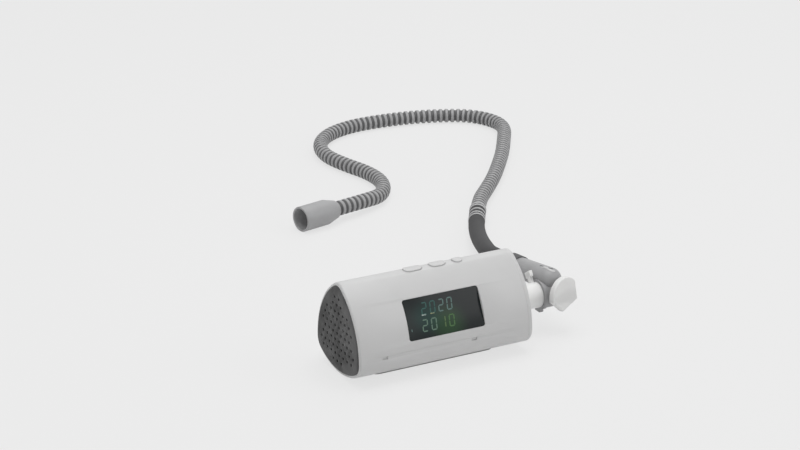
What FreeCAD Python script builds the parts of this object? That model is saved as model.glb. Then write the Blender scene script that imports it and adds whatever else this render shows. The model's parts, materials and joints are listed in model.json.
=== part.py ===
"""Travel breathing machine: a rounded three-sided body with a blower inside, a swivel elbow and a slim hose.

Frame: millimetres, +X from the inlet end to the outlet end, +Y to the back, +Z up. The origin is on the
resting face, in the middle of the foot pad. Each sub-part is written to parts/NAME.step.
"""
import FreeCAD
import Part
import math
import os

# ---------------------------------------------------------------- body section and length
BODY_LENGTH = 172.5      # white body, rim to rim
SIDE = 56.0              # side of the inner triangle that the section is drawn about
CORNER_R = 14.3          # radius of the three rounded edges
PAD_PROUD = 1.0          # how far the foot pad stands below the lowest line of the base
WALL = 2.2               # housing wall
BASE_WALL = 3.0          # base cover wall
RIM_WALL = 2.6           # wall of the inlet rim round the filter cover
RIM_ROUND = 2.2          # rounding of the rim's outer edge
RIM_DEPTH = 12.2         # depth of the seat inside that rim
LEDGE_STEP = 1.2         # how far the ledge behind the seat stands in
LEDGE_LONG = 1.6         # length of that ledge along the body
END_THICK = 5.0          # outlet end cover
END_ROUND = 3.0          # rounding of the end cover's outer edge
BASE_HALF = 29.0         # half width of the base cover, whose seams lie on the underside
SEAM = 0.1               # open width of a seam
FIT = 0.2                # clearance between pieces that slip into each other
LIP = 1.6                # thickness of a locating lip
LIP_RISE = 3.0           # reach of the base cover's lip beyond the seam
LIP_ROOT = 3.0           # root of the lip inside the seam
SPIGOT = 4.0             # length of the end cover's spigot

# ---------------------------------------------------------------- foot pad and snaps
PAD_LENGTH = 124.0
PAD_WIDTH = 34.0
PAD_ROUND = 8.0
SNAP_FROM_END = (24.25, 60.25)   # snap hooks from the filter end and from the outlet end
SNAP_Z = 26.5            # height of the snap windows
SNAP_WIDE = 5.0          # window width
SNAP_HIGH = 2.4          # window height
SNAP_SUNK = 0.9          # how far the hook's nose stays below the outer face
LUG_WIDE = 10.0
LUG_THICK = 4.0
LUG_ABOVE = 4.5          # height of the lug above the window's centre

# ---------------------------------------------------------------- inlet end
COVER_PROUD = 1.0        # filter cover's face beyond the rim
COVER_PLATE = 1.8
COVER_GAP = 0.25         # gap round the filter cover
COVER_SKIRT = 1.65
COVER_EDGE = 1.5         # rounding of the cover's front edge
COVER_HOLE = 2.6         # six-sided vent holes, across the flats
COVER_PITCH = 7.6        # spacing of the cover's holes
COVER_MARGIN = 10.0      # holes stay this far inside the body's outline
FRAME_THICK = 1.9
FRAME_MARGIN = 10.0
SPOKE = 3.0
FOAM_Z = 57.0            # underside of the silencer foam

# ---------------------------------------------------------------- display
LENS_X = 0.0             # centre of the lens along the body
LENS_WIDE = 75.0
LENS_HIGH = 36.0
LENS_LIFT = -3.85        # degrees from the middle of the front face towards the top edge
LENS_THICK = 1.6
LENS_ROUND = 2.4
LENS_GAP = 0.15
LEDGE = 2.0              # width of the ledge that carries the lens
POCKET_WALL = 2.8        # wall of the frame round the lens
POCKET_DEPTH = 4.6       # depth of that frame below the lens face
PANEL_THICK = 2.4
PANEL_MARGIN = (4.5, 4.0)   # lens beyond the panel, at the ends and above and below
PANEL_GAP = 0.2
BOARD_THICK = 1.2
DISPLAY_BOARD_WIDE = 78.0
DISPLAY_BOARD_HIGH = 38.0

# ---------------------------------------------------------------- keys on the top edge
KEYS = (("left_key", -13.5, 18.0), ("middle_key", 11.0, 16.0), ("right_key", 31.0, 10.0))
KEY_WIDE = 9.6
KEY_PROUD = 1.0          # how far a key stands above the rounded edge
KEY_GAP = 0.25           # gap round a key
KEY_FLANGE = 1.1         # thickness of a key's flange
KEY_FLANGE_WIDE = 12.4
KEY_FLANGE_DROP = 4.1    # top of the flange below the rounded edge
KEY_OVERHANG = 2.0       # flange beyond the key at each end
STEM_R = 2.6
STEM_DROP = 8.1          # foot of the stem below the rounded edge
DOME_RISE = 2.6          # height of a silicone dome
DOME_R = 4.2
DOME_WALL = 0.7
DOME_TOUCH = 0.05
BUTTON_BOARD = (-30.0, 46.0)
BUTTON_BOARD_WIDE = 18.0
RAIL_THICK = 1.6
RAIL_LAP = 0.8           # how far a rail reaches under the button board

# ---------------------------------------------------------------- blower
BLOWER_FROM_END = 50.25   # blower's axis from the filter end
BLOWER_Y = 1.5
CASING_WALL = 1.6
SCROLL_Z0 = 30.0         # floor of the scroll
SCROLL_HIGH = 14.4       # inside height
SCROLL_R0 = 23.5         # inside radius at the tongue
SCROLL_R1 = 31.5         # inside radius at the outlet
TONGUE_DEG = 40.0
OUTLET_RUN = 26.0        # length of the outlet channel from the blower axis
EYE_R = 12.5
EYE_RISE = 3.0
IMPELLER_R = 21.0
IMPELLER_HIGH = 12.2
IMPELLER_LIFT = 1.0      # running gap above the scroll floor
BLADES = 11
BLADE_THICK = 0.9
HUB_R = 4.0
PLATE_THICK = 1.2
SHAFT_R = 1.5
SHAFT_GAP = 0.02
BEARING_R = 4.0
BEARING_HIGH = 3.0
BEARING_GAP = 0.02
CUP_R = 18.0             # motor cup outside
CUP_Z0 = 13.0            # open end of the cup
CUP_WALL = 1.4
MOTOR_LID = 1.5
STATOR_Z = (17.6, 25.6)
ROTOR_R = 6.8
AIR_GAP = 0.4
STATOR_SLOTS = 6
MOUNT_RING = 24.0        # radius of the three silicone mounts about the blower axis
MOUNT_DEG = (150.0, 250.0, 335.0)
MOUNT_R = 4.6
MOUNT_Z = (17.0, 24.0)
PIN_R = 1.5

# ---------------------------------------------------------------- air path
DUCT_BORE_R = 8.5
DUCT_WALL = 2.0
SPOUT_R = 8.4            # spouts that the duct is pushed on
SPOUT_WALL = 1.5
SPOUT_LENGTH = 10.0
PORT_Z = 35.3            # height of the outlet axis
PORT_R = 11.7
PORT_END = 29.25         # visible length of the port beyond the end cover
PORT_FLANGE_R = 17.0
PORT_FLANGE = 2.2
SPIGOT_R = 9.5           # part of the port that the elbow turns on
SPIGOT_LENGTH = 12.2
SWIVEL_GAP = 0.06
STOP_LUG = (3.2, 9.0, 5.5)   # swivel stop on the port: along X, across and radial
STOP_DEG = 56.0
STOP_R = 22.5

# ---------------------------------------------------------------- boards and power inlet
MAIN_BOARD_FROM_END = (88.25, 12.25)   # its ends from the outlet end
MAIN_BOARD_Y = (-14.0, 26.0)
MAIN_BOARD_Z = 57.0
MAIN_BOARD_THICK = 1.6
SHELF_GAP = 0.1
CHIPS = ((10, 10, 12, 12, 1.4), (30, 20, 9, 9, 1.2), (48, 8, 7, 10, 1.8), (62, 28, 8, 6, 2.4))
SENSOR = (64.0, 11.0, 9.0, 5.0)   # corner on the board along X and Y, side and height
NIPPLE = (1.4, 4.0)      # radius and length of the sensor's nipple
INLET_FROM_END = 28.0    # power inlet's axis from the outlet end
INLET_Z = 30.0
INLET_BOX = (14.0, 11.6, 11.0)   # X, Y, Z
INLET_BARREL_R = 5.0
INLET_BORE_R = 3.25
INLET_PIN_R = 1.0
INLET_SUNK = 0.9

# ---------------------------------------------------------------- elbow
RING_LENGTH = 4.4
RING_R = 14.0
RING_LUG = (8.0, 2.2)    # width and height of the lug under the ring
CHAMBER_R = 13.2
CHAMBER_LENGTH = 7.6     # straight part of the chamber, before its domed end
ARM_RISE = 12.2          # arm axis above the port axis, at the front
ARM_BEHIND = 0.5         # arm's front centre behind the port axis
ARM_BESIDE = 0.3         # arm axis beyond the chamber's centre
ARM_DROP = 6.8           # how far the arm falls towards its end
ARM_LENGTH = 59.5
ARM_R0 = 11.5
ARM_R1 = 9.0
ARM_BORE_R = 6.8
CAP_TURN = 18.0          # knob axis turned from the front towards the outlet end, in degrees
CAP_PITCH = 6.3          # knob axis raised above the level, in degrees
CAP_REACH = 15.6         # back of the knob from the chamber's centre
CAP_R = 17.5
CAP_THICK = 5.4
CAP_FLATS = ((-133.6, 13.4), (-71.2, 11.3), (6.0, 14.6))   # grip flats: direction and distance from the axis
CAP_CORNER = 1.2         # rounding between a flat and the round rim
CAP_EDGE = 1.2
CAP_FACE = 2.4           # thickness of the knob's face
CAP_HUB_R = 8.6
CAP_HUB = 5.0
CAP_HUB_WALL = 2.4
CAP_BOSS_WALL = 2.2
CAP_GAP = 0.3
GROOVE_DEEP = 1.2        # grooves of the two sealing rings
GROOVE_WIDE = 1.8
SEAL_GAP = 0.06

# ---------------------------------------------------------------- hose
HOSE_R = 7.8
HOSE_BORE_R = 6.0
CUFF_R = 10.4
CUFF_OVERLAP = 10.0
CUFF_BEYOND = 6.0
COLLAR_R = 8.7
COLLAR_LENGTH = 9.0
CONNECTOR_R = 13.0
CONNECTOR_LENGTH = 45.0
CONNECTOR_NECK_R = 9.2
CONNECTOR_BORE_R = 11.0
CONNECTOR_BORE = 20.0
CONNECTOR_CLEAR = 0.15   # big end above the resting plane
FLOOR_GAP = 0.2
TOUCHDOWN = HOSE_R + FLOOR_GAP
BAND_Z = COLLAR_R + FLOOR_GAP

APEX, BACK, FRONT = 0, 1, 2
X_LEFT = -BODY_LENGTH / 2
X_RIGHT = BODY_LENGTH / 2
X_END = X_RIGHT - END_THICK
BASE_Z = SIDE * (1 - math.sqrt(3) / 2) + CORNER_R + PAD_PROUD
SIDE_R = SIDE + CORNER_R
CORNERS = ((0.0, BASE_Z + SIDE * math.sqrt(3) / 2), (SIDE / 2, BASE_Z), (-SIDE / 2, BASE_Z))
CORNER_DEG = (90.0, -30.0, 210.0)
TOP_Z = CORNERS[APEX][1] + CORNER_R
PORT_TIP = X_RIGHT + PORT_END
INLET_X = X_RIGHT - INLET_FROM_END
SNAP_X = (X_LEFT + SNAP_FROM_END[0], X_RIGHT - SNAP_FROM_END[1])
BLOWER_X = X_LEFT + BLOWER_FROM_END
MAIN_BOARD = (X_RIGHT - MAIN_BOARD_FROM_END[0], X_RIGHT - MAIN_BOARD_FROM_END[1], *MAIN_BOARD_Y)
PORT_GROOVE_X = PORT_TIP + 6.6
CHAMBER_X = PORT_TIP + FIT + RING_LENGTH + CHAMBER_LENGTH
FAR = 200.0


def vec(x, y, z):
    return FreeCAD.Vector(x, y, z)


def block(x0, x1, y0, y1, z0, z1):
    """Box between two corners."""
    return Part.makeBox(x1 - x0, y1 - y0, z1 - z0, vec(x0, y0, z0))


def rod(radius, start, end):
    """Cylinder from one point to another."""
    axis = end - start
    return Part.makeCylinder(radius, axis.Length, start, axis)


def tube(outer_r, inner_r, start, end):
    """Hollow cylinder from one point to another."""
    return rod(outer_r, start, end).cut(rod(inner_r, start, end))


def polar(centre, radius, degrees):
    """Point in the YZ plane at an angle from +Y towards +Z."""
    a = math.radians(degrees)
    return centre[0] + radius * math.cos(a), centre[1] + radius * math.sin(a)


def arc(x, centre, radius, start_deg, end_deg):
    """Arc in the plane of one X."""
    points = [polar(centre, radius, d) for d in (start_deg, (start_deg + end_deg) / 2, end_deg)]
    return Part.Arc(*[vec(x, y, z) for y, z in points]).toShape()


def section(inset, x):
    """Rounded three-sided outline of constant width, moved inwards by inset."""
    edges = []
    for k in range(3):
        opposite = CORNERS[k]
        side_mid = CORNER_DEG[k] + 180.0
        edges.append(arc(x, opposite, SIDE_R - inset, side_mid - 30.0, side_mid + 30.0))
        edges.append(arc(x, opposite, CORNER_R - inset, CORNER_DEG[k] - 30.0, CORNER_DEG[k] + 30.0))
    return Part.Wire(Part.__sortEdges__(edges))


def prism(inset, x0, x1):
    """Solid of the body section between two places along the body."""
    return Part.Face(section(inset, x0)).extrude(vec(x1 - x0, 0, 0))


def shell(outer_inset, inner_inset, x0, x1):
    """Ring between two insets of the body section."""
    return prism(outer_inset, x0, x1).cut(prism(inner_inset, x0, x1))


def side_y(z, inset):
    """Half width of the section at a height above the lower corners."""
    reach = SIDE_R - inset
    return math.sqrt(reach ** 2 - (z - BASE_Z) ** 2) - SIDE / 2


def slot_prism(x, length, width, z0, z1):
    """Upright prism with round ends, long along X and centred on Y = 0."""
    r = width / 2
    run = length / 2 - r
    body = block(x - run, x + run, -r, r, z0, z1) if run > 0.01 else None
    ends = [rod(r, vec(x + s * run, 0, z0), vec(x + s * run, 0, z1)) for s in (-1, 1)]
    whole = ends[0].fuse(ends[1])
    return (whole.fuse(body) if body else whole).removeSplitter()


# ---------------------------------------------------------------- display frame of reference
def lens_frame():
    """Placement whose local X runs along the body, local Y up the slope and local Z out of the front."""
    front_mid = CORNER_DEG[BACK] + 180.0
    half = math.degrees(math.asin(LENS_HIGH / 2 / SIDE_R))
    top = polar(CORNERS[BACK], SIDE_R, front_mid - LENS_LIFT - half)
    low = polar(CORNERS[BACK], SIDE_R, front_mid - LENS_LIFT + half)
    centre = vec(LENS_X, (top[0] + low[0]) / 2, (top[1] + low[1]) / 2)
    up = vec(0, top[0] - low[0], top[1] - low[1]).normalize()
    along = vec(1, 0, 0)
    return FreeCAD.Placement(centre, FreeCAD.Rotation(along, up, along.cross(up), "ZXY"))


def lens_slab(wide, high, depth0, depth1, corner=0.0):
    """Rectangular slab in the display's own frame, between two depths below the lens face."""
    slab = block(-wide / 2, wide / 2, -high / 2, high / 2, -depth1, -depth0)
    if corner:
        upright = [e for e in slab.Edges if abs(e.tangentAt(e.FirstParameter).z) > 0.99]
        slab = slab.makeFillet(corner, upright)
    slab.Placement = lens_frame().multiply(slab.Placement)
    return slab


# ---------------------------------------------------------------- housing
def snap_block(x, wide, high, sign, inset_out, inset_in):
    """Piece of the wall between two insets at a snap, on the front (-1) or the back (+1)."""
    y0, y1 = sorted((sign * 20.0, sign * FAR))
    zone = block(x - wide / 2, x + wide / 2, y0, y1, SNAP_Z - high / 2, SNAP_Z + high / 2)
    return shell(inset_out, inset_in, x - wide, x + wide).common(zone)


def outer_form():
    """Outside of the body from the rounded inlet rim to the end cover, as a solid."""
    form = prism(0, X_LEFT, X_END)
    rim = [e for e in form.Edges if all(abs(v.X - X_LEFT) < 0.01 for v in e.Vertexes)]
    return form.makeFillet(RIM_ROUND, rim)


def hollow(wall):
    """Room inside the body: the filter's seat, the ledge behind it and the rest with a given wall."""
    seat_end = X_LEFT + RIM_DEPTH
    ledge_end = seat_end + LEDGE_LONG
    room = prism(RIM_WALL, X_LEFT - 1, seat_end).fuse(prism(RIM_WALL + LEDGE_STEP, seat_end, ledge_end))
    return room.fuse(prism(wall, ledge_end, X_END + 1))


def main_housing():
    """Front, back and top of the body in one moulding, open below and at both ends."""
    body = outer_form().cut(hollow(WALL)).cut(block(-FAR, FAR, -BASE_HALF, BASE_HALF, -1, BASE_Z))
    wide = LENS_WIDE + 2 * LENS_GAP
    high = LENS_HIGH + 2 * LENS_GAP
    pocket = lens_slab(wide + 2 * POCKET_WALL, high + 2 * POCKET_WALL, -6, POCKET_DEPTH)
    body = body.fuse(pocket.common(prism(WALL / 2, X_LEFT, X_END)))
    rail_top = TOP_Z - STEM_DROP - DOME_RISE - BOARD_THICK - SHELF_GAP
    rail_y = BUTTON_BOARD_WIDE / 2
    inside = prism(WALL / 2, X_LEFT + RIM_DEPTH, X_END)
    for sign in (-1, 1):
        y0, y1 = sorted((sign * (rail_y - RAIL_LAP), sign * FAR))
        rail = block(BUTTON_BOARD[0], BUTTON_BOARD[1], y0, y1, rail_top - RAIL_THICK, rail_top)
        body = body.fuse(rail.common(inside))
    for shelf in main_board_shelves():
        body = body.fuse(shelf.common(inside))
    body = body.cut(lens_slab(wide, high, -8, LENS_THICK + LENS_GAP, LENS_ROUND))
    body = body.cut(lens_slab(wide - 2 * LEDGE, high - 2 * LEDGE, 0, POCKET_DEPTH + 2))
    for _, x, length in KEYS:
        slot = slot_prism(x, length + 2 * KEY_GAP, KEY_WIDE + 2 * KEY_GAP, TOP_Z - CORNER_R + 6, TOP_Z + 1)
        body = body.cut(slot)
    for x in SNAP_X:
        for sign in (-1, 1):
            body = body.cut(snap_block(x, SNAP_WIDE, SNAP_HIGH, sign, -1, WALL + 1))
    back = side_y(INLET_Z, 0)
    body = body.cut(rod(INLET_BARREL_R + FIT, vec(INLET_X, back - 8, INLET_Z), vec(INLET_X, back + 4, INLET_Z)))
    return body.removeSplitter()


def main_board_shelves():
    """Shelves on the inner walls that carry the main board."""
    x0, x1, y0, y1 = MAIN_BOARD
    top = MAIN_BOARD_Z - SHELF_GAP
    right_of_display = LENS_X + LENS_WIDE / 2 + POCKET_WALL + 4
    back = block(x0, x1, y1 - 2, y1 + 8, top - RAIL_THICK, top)
    front = block(right_of_display, x1, -FAR, y0 + 2, top - RAIL_THICK, top)
    return back, front


def mount_places():
    """Centres of the three silicone mounts."""
    return [polar((BLOWER_X, BLOWER_Y), MOUNT_RING, d) for d in MOUNT_DEG]


def base_cover():
    """Curved floor of the body, with locating lip, snap lugs, blower posts and the inlet's cradle."""
    half = BASE_HALF - SEAM
    panel = outer_form().cut(hollow(BASE_WALL)).common(block(-FAR, FAR, -half, half, -1, BASE_Z))
    cover = panel.cut(prism(WALL, X_END - SPIGOT - FIT, X_END + 1))
    inset = WALL + FIT
    x0 = X_LEFT + RIM_DEPTH + LEDGE_LONG + FIT
    x1 = X_END - SPIGOT - 2 * FIT
    for sign in (-1, 1):
        y0, y1 = sorted((sign * (BASE_HALF - LIP_ROOT), sign * (BASE_HALF + LIP_RISE)))
        cover = cover.fuse(shell(inset, inset + LIP, x0, x1).common(block(x0, x1, y0, y1, -1, BASE_Z)))
    for x in SNAP_X:
        for sign in (-1, 1):
            y0, y1 = sorted((sign * (BASE_HALF - LIP_ROOT), sign * FAR))
            zone = block(x - LUG_WIDE / 2, x + LUG_WIDE / 2, y0, y1, -1, SNAP_Z + LUG_ABOVE)
            lug = shell(inset, inset + LUG_THICK, x - LUG_WIDE, x + LUG_WIDE).common(zone)
            nose = snap_block(x, SNAP_WIDE - FIT, SNAP_HIGH - FIT, sign, SNAP_SUNK, inset + 1)
            cover = cover.fuse(lug).fuse(nose)
    solid = prism(inset, X_LEFT + RIM_DEPTH, X_END - SPIGOT)
    for x, y in mount_places():
        post = rod(MOUNT_R - 0.8, vec(x, y, 0), vec(x, y, MOUNT_Z[0])).fuse(
            rod(PIN_R, vec(x, y, 0), vec(x, y, MOUNT_Z[0] + 3.0)))
        cover = cover.fuse(post.common(solid))
    half = INLET_BOX[0] / 2 - 2
    y1 = side_y(INLET_Z, WALL) - 2
    cradle = block(INLET_X - half, INLET_X + half, y1 - 12, y1, 0, INLET_Z - INLET_BOX[2] / 2 - SHELF_GAP)
    return cover.fuse(cradle.common(solid)).removeSplitter()


def outlet_end_cover():
    """Right-hand end of the body, with a rounded outer edge and a spigot inside the housing."""
    plate = prism(0, X_END, X_RIGHT)
    rim = [e for e in plate.Edges if all(abs(v.X - X_RIGHT) < 0.01 for v in e.Vertexes)]
    plate = plate.makeFillet(END_ROUND, rim)
    inset = WALL + FIT
    plate = plate.fuse(shell(inset, inset + LIP, X_END - SPIGOT, X_END))
    hole = rod(PORT_R + FIT, vec(X_END - 1, 0, PORT_Z), vec(X_RIGHT + 1, 0, PORT_Z))
    return plate.cut(hole).removeSplitter()


def foot_pad():
    """Rubber pad with a flat lower face, cut to the curve of the base above."""
    pad = block(-PAD_LENGTH / 2, PAD_LENGTH / 2, -PAD_WIDTH / 2, PAD_WIDTH / 2, 0, 6)
    upright = [e for e in pad.Edges if abs(e.tangentAt(e.FirstParameter).z) > 0.99]
    return pad.makeFillet(PAD_ROUND, upright).cut(prism(0, X_LEFT, X_RIGHT))


# ---------------------------------------------------------------- inlet end
def hole_places(margin):
    """Places of the filter cover's holes on a triangular grid that fits the section."""
    places = []
    centre_z = BASE_Z + SIDE * math.sqrt(3) / 6
    row = COVER_PITCH * math.sqrt(3) / 2
    limit = SIDE_R - margin
    for j in range(-6, 7):
        for i in range(-6, 7):
            y = COVER_PITCH * (i + 0.5 * (j % 2))
            z = centre_z + row * j
            if all(math.hypot(y - c[0], z - c[1]) < limit for c in CORNERS):
                places.append((y, z))
    return places


def filter_cover():
    """Dark cap over the air inlet: a perforated face with a skirt that grips inside the rim."""
    x0 = X_LEFT - COVER_PROUD
    outline = RIM_WALL + COVER_GAP
    cap = prism(outline, x0, X_LEFT + RIM_DEPTH - FRAME_THICK - 2 * FIT)
    rim = [e for e in cap.Edges if all(abs(v.X - x0) < 0.01 for v in e.Vertexes)]
    cap = cap.makeFillet(COVER_EDGE, rim)
    cap = cap.cut(prism(outline + COVER_SKIRT, x0 + COVER_PLATE, X_LEFT + RIM_DEPTH))
    holes = [vent_hole(x0 - 1, y, z) for y, z in hole_places(COVER_MARGIN)]
    return cap.cut(Part.makeCompound(holes))


def vent_hole(x, y, z):
    """Six-sided prism along X that opens one vent hole."""
    corner_r = COVER_HOLE / 2 / math.cos(math.pi / 6)
    corners = [vec(x, *polar((y, z), corner_r, 60.0 * k)) for k in range(7)]
    return Part.Face(Part.makePolygon(corners)).extrude(vec(COVER_PLATE + 2, 0, 0))


def filter_pad():
    """Block of filter foam held inside the cover's skirt."""
    x0 = X_LEFT - COVER_PROUD + COVER_PLATE + FIT
    x1 = X_LEFT + RIM_DEPTH - FRAME_THICK - 2 * FIT
    return prism(RIM_WALL + COVER_GAP + COVER_SKIRT + FIT, x0, x1)


def inlet_frame():
    """Open frame with two crossing ribs that keeps the filter off the air chamber."""
    x0 = X_LEFT + RIM_DEPTH - FRAME_THICK - FIT / 2
    x1 = X_LEFT + RIM_DEPTH - FIT / 2
    centre_z = BASE_Z + SIDE * math.sqrt(3) / 6
    plate = prism(RIM_WALL + FIT / 2, x0, x1)
    window = prism(FRAME_MARGIN, x0 - 1, x1 + 1)
    ribs = block(x0, x1, -SPOKE / 2, SPOKE / 2, 0, TOP_Z).fuse(
        block(x0, x1, -FAR, FAR, centre_z - SPOKE / 2, centre_z + SPOKE / 2))
    return plate.cut(window.cut(ribs)).removeSplitter()


def silencer_foam():
    """Foam block in the top of the air chamber."""
    x0 = X_LEFT + RIM_DEPTH + LEDGE_LONG + FIT
    zone = block(x0, LENS_X - LENS_WIDE / 2 - POCKET_WALL - 1.5, -FAR, FAR, FOAM_Z, TOP_Z)
    return prism(WALL + 0.3, X_LEFT, X_END).common(zone)


# ---------------------------------------------------------------- keys
def key(x, length):
    """Key that follows the rounded top edge, with a flange inside the wall and a stem on its dome."""
    top_centre = CORNERS[APEX]
    flange_top = TOP_Z - KEY_FLANGE_DROP
    crown = rod(CORNER_R + KEY_PROUD, vec(x - length, top_centre[0], top_centre[1]),
                vec(x + length, top_centre[0], top_centre[1]))
    cap = slot_prism(x, length, KEY_WIDE, flange_top - KEY_FLANGE, TOP_Z + 4).common(crown)
    top_edges = [e for e in cap.Edges if e.BoundBox.ZMin > TOP_Z - 1.5]
    cap = cap.makeFillet(0.5, top_edges)
    half = length / 2 + KEY_OVERHANG
    flange = block(x - half, x + half, -KEY_FLANGE_WIDE / 2, KEY_FLANGE_WIDE / 2, flange_top - KEY_FLANGE, flange_top)
    stem = rod(STEM_R, vec(x, 0, TOP_Z - STEM_DROP), vec(x, 0, flange_top))
    return cap.fuse(flange).fuse(stem).removeSplitter()


def key_dome(x):
    """Hollow silicone dome between a key's stem and the button board."""
    z0 = TOP_Z - STEM_DROP - DOME_RISE
    z1 = z0 + DOME_RISE - DOME_TOUCH
    outer = Part.makeCone(DOME_R, STEM_R, z1 - z0, vec(x, 0, z0), vec(0, 0, 1))
    inner = Part.makeCone(DOME_R - DOME_WALL, STEM_R - DOME_WALL, z1 - z0 - DOME_WALL, vec(x, 0, z0), vec(0, 0, 1))
    return outer.cut(inner)


def button_board():
    """Narrow board under the keys."""
    z1 = TOP_Z - STEM_DROP - DOME_RISE
    half = BUTTON_BOARD_WIDE / 2
    return block(BUTTON_BOARD[0], BUTTON_BOARD[1], -half, half, z1 - BOARD_THICK, z1)


# ---------------------------------------------------------------- blower
def scroll_r(degrees, grow):
    """Radius of the scroll at an angle, going round clockwise from the tongue to the outlet at 90 degrees."""
    turned = (TONGUE_DEG - degrees) / (360.0 - 90.0 + TONGUE_DEG)
    return SCROLL_R0 + (SCROLL_R1 - SCROLL_R0) * turned + grow


def scroll_point(degrees, grow, z):
    a = math.radians(degrees)
    r = scroll_r(degrees, grow)
    return vec(BLOWER_X + r * math.cos(a), BLOWER_Y + r * math.sin(a), z)


def scroll_face(grow, z):
    """Plan of the scroll and its outlet channel, grown outwards by a wall."""
    steps = 6
    start = TONGUE_DEG - (8.0 if grow else 0.0)
    turn = (start + 270.0) / steps
    edges = []
    for k in range(steps):
        a0 = start - k * turn
        a1 = start - (k + 1) * turn
        points = [scroll_point(a, grow, z) for a in (a0, (a0 + a1) / 2, a1)]
        edges.append(Part.Arc(*points).toShape())
    first = scroll_point(start, grow, z)
    last = scroll_point(-270.0, grow, z)
    x1 = BLOWER_X + OUTLET_RUN
    corners = [last, vec(x1, last.y, z), vec(x1, first.y, z), first]
    for a, b in zip(corners, corners[1:]):
        edges.append(Part.LineSegment(a, b).toShape())
    return Part.Face(Part.Wire(edges))


def spout_place():
    """Centre of the round spout on the outlet channel."""
    inner = BLOWER_Y + SCROLL_R0 * math.sin(math.radians(TONGUE_DEG))
    outer = BLOWER_Y + SCROLL_R1
    return vec(BLOWER_X + OUTLET_RUN, (inner + outer) / 2, SCROLL_Z0 + SCROLL_HIGH / 2)


def blower_casing():
    """Scroll with floor and walls, motor cup below, mount lugs and outlet spout."""
    axis = vec(BLOWER_X, BLOWER_Y, 0)
    floor_z = SCROLL_Z0 - CASING_WALL
    top_z = SCROLL_Z0 + SCROLL_HIGH
    casing = scroll_face(CASING_WALL, floor_z).extrude(vec(0, 0, top_z - floor_z))
    casing = casing.cut(scroll_face(0, SCROLL_Z0).extrude(vec(0, 0, SCROLL_HIGH)))
    at = spout_place()
    z0 = floor_z
    back_wall = block(at.x, at.x + CASING_WALL, at.y - 10.3, at.y + 9.7, z0, top_z)
    spout = rod(SPOUT_R, at + vec(CASING_WALL, 0, 0), at + vec(CASING_WALL + SPOUT_LENGTH, 0, 0))
    casing = casing.fuse(back_wall).fuse(spout)
    cup = tube(CUP_R, CUP_R - CUP_WALL, axis + vec(0, 0, CUP_Z0), axis + vec(0, 0, floor_z + 0.2))
    hub = rod(BEARING_R + 1.8, axis + vec(0, 0, SCROLL_Z0 - BEARING_HIGH - 1.0), axis + vec(0, 0, SCROLL_Z0))
    casing = casing.fuse(cup).fuse(hub)
    for x, y in mount_places():
        casing = casing.fuse(rod(MOUNT_R + 0.6, vec(x, y, MOUNT_Z[1] + SHELF_GAP), vec(x, y, floor_z + 0.2)))
    casing = casing.cut(rod(SPOUT_R - SPOUT_WALL, at - vec(1, 0, 0), at + vec(20, 0, 0)))
    pocket = rod(BEARING_R + BEARING_GAP, axis + vec(0, 0, SCROLL_Z0 - BEARING_HIGH), axis + vec(0, 0, SCROLL_Z0 + 1))
    bore = rod(SHAFT_R + 1.0, axis + vec(0, 0, CUP_Z0), axis + vec(0, 0, SCROLL_Z0))
    return casing.cut(pocket).cut(bore).removeSplitter()


def blower_lid():
    """Flat lid of the scroll with the round inlet eye."""
    z0 = SCROLL_Z0 + SCROLL_HIGH
    axis = vec(BLOWER_X, BLOWER_Y, 0)
    lid = scroll_face(CASING_WALL, z0).extrude(vec(0, 0, CASING_WALL))
    at = spout_place()
    lid = lid.fuse(block(at.x, at.x + CASING_WALL, at.y - 10.3, at.y + 9.7, z0, z0 + CASING_WALL))
    eye_top = z0 + CASING_WALL + EYE_RISE
    lid = lid.fuse(rod(EYE_R + 1.8, axis + vec(0, 0, z0), axis + vec(0, 0, eye_top)))
    funnel = Part.makeCone(EYE_R, EYE_R + 1.2, eye_top - z0 + 0.02, axis + vec(0, 0, z0 - 0.01), vec(0, 0, 1))
    return lid.cut(funnel).removeSplitter()


def impeller():
    """Wheel with backward-curved blades between a back plate and a ring shroud."""
    z0 = SCROLL_Z0 + IMPELLER_LIFT
    z1 = z0 + IMPELLER_HIGH
    axis = vec(BLOWER_X, BLOWER_Y, 0)
    wheel = rod(IMPELLER_R, axis + vec(0, 0, z0), axis + vec(0, 0, z0 + PLATE_THICK))
    wheel = wheel.fuse(rod(HUB_R, axis + vec(0, 0, z0), axis + vec(0, 0, z1 - 3)))
    wheel = wheel.fuse(tube(IMPELLER_R, EYE_R - 0.5, axis + vec(0, 0, z1 - PLATE_THICK), axis + vec(0, 0, z1)))
    inner_r = EYE_R - 2.5
    outer_r = IMPELLER_R - 0.3
    for k in range(BLADES):
        lean = 360.0 / BLADES * k
        spots = [(inner_r, 0.0), ((inner_r + outer_r) / 2, 22.0), (outer_r, 50.0)]
        ends = []
        for grow in (0.0, BLADE_THICK):
            ring = []
            for r, turn in spots:
                a = math.radians(lean + turn) + grow / r
                ring.append(vec(BLOWER_X + r * math.cos(a), BLOWER_Y + r * math.sin(a), z0 + PLATE_THICK / 2))
            ends.append(ring)
        near, far = ends
        edges = [Part.Arc(*near).toShape(), Part.LineSegment(near[2], far[2]).toShape(),
                 Part.Arc(*far[::-1]).toShape(), Part.LineSegment(far[0], near[0]).toShape()]
        blade = Part.Face(Part.Wire(edges)).extrude(vec(0, 0, IMPELLER_HIGH - PLATE_THICK))
        wheel = wheel.fuse(blade)
    return wheel.cut(rod(SHAFT_R, axis + vec(0, 0, z0 - 1), axis + vec(0, 0, z1 + 1))).removeSplitter()


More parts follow.
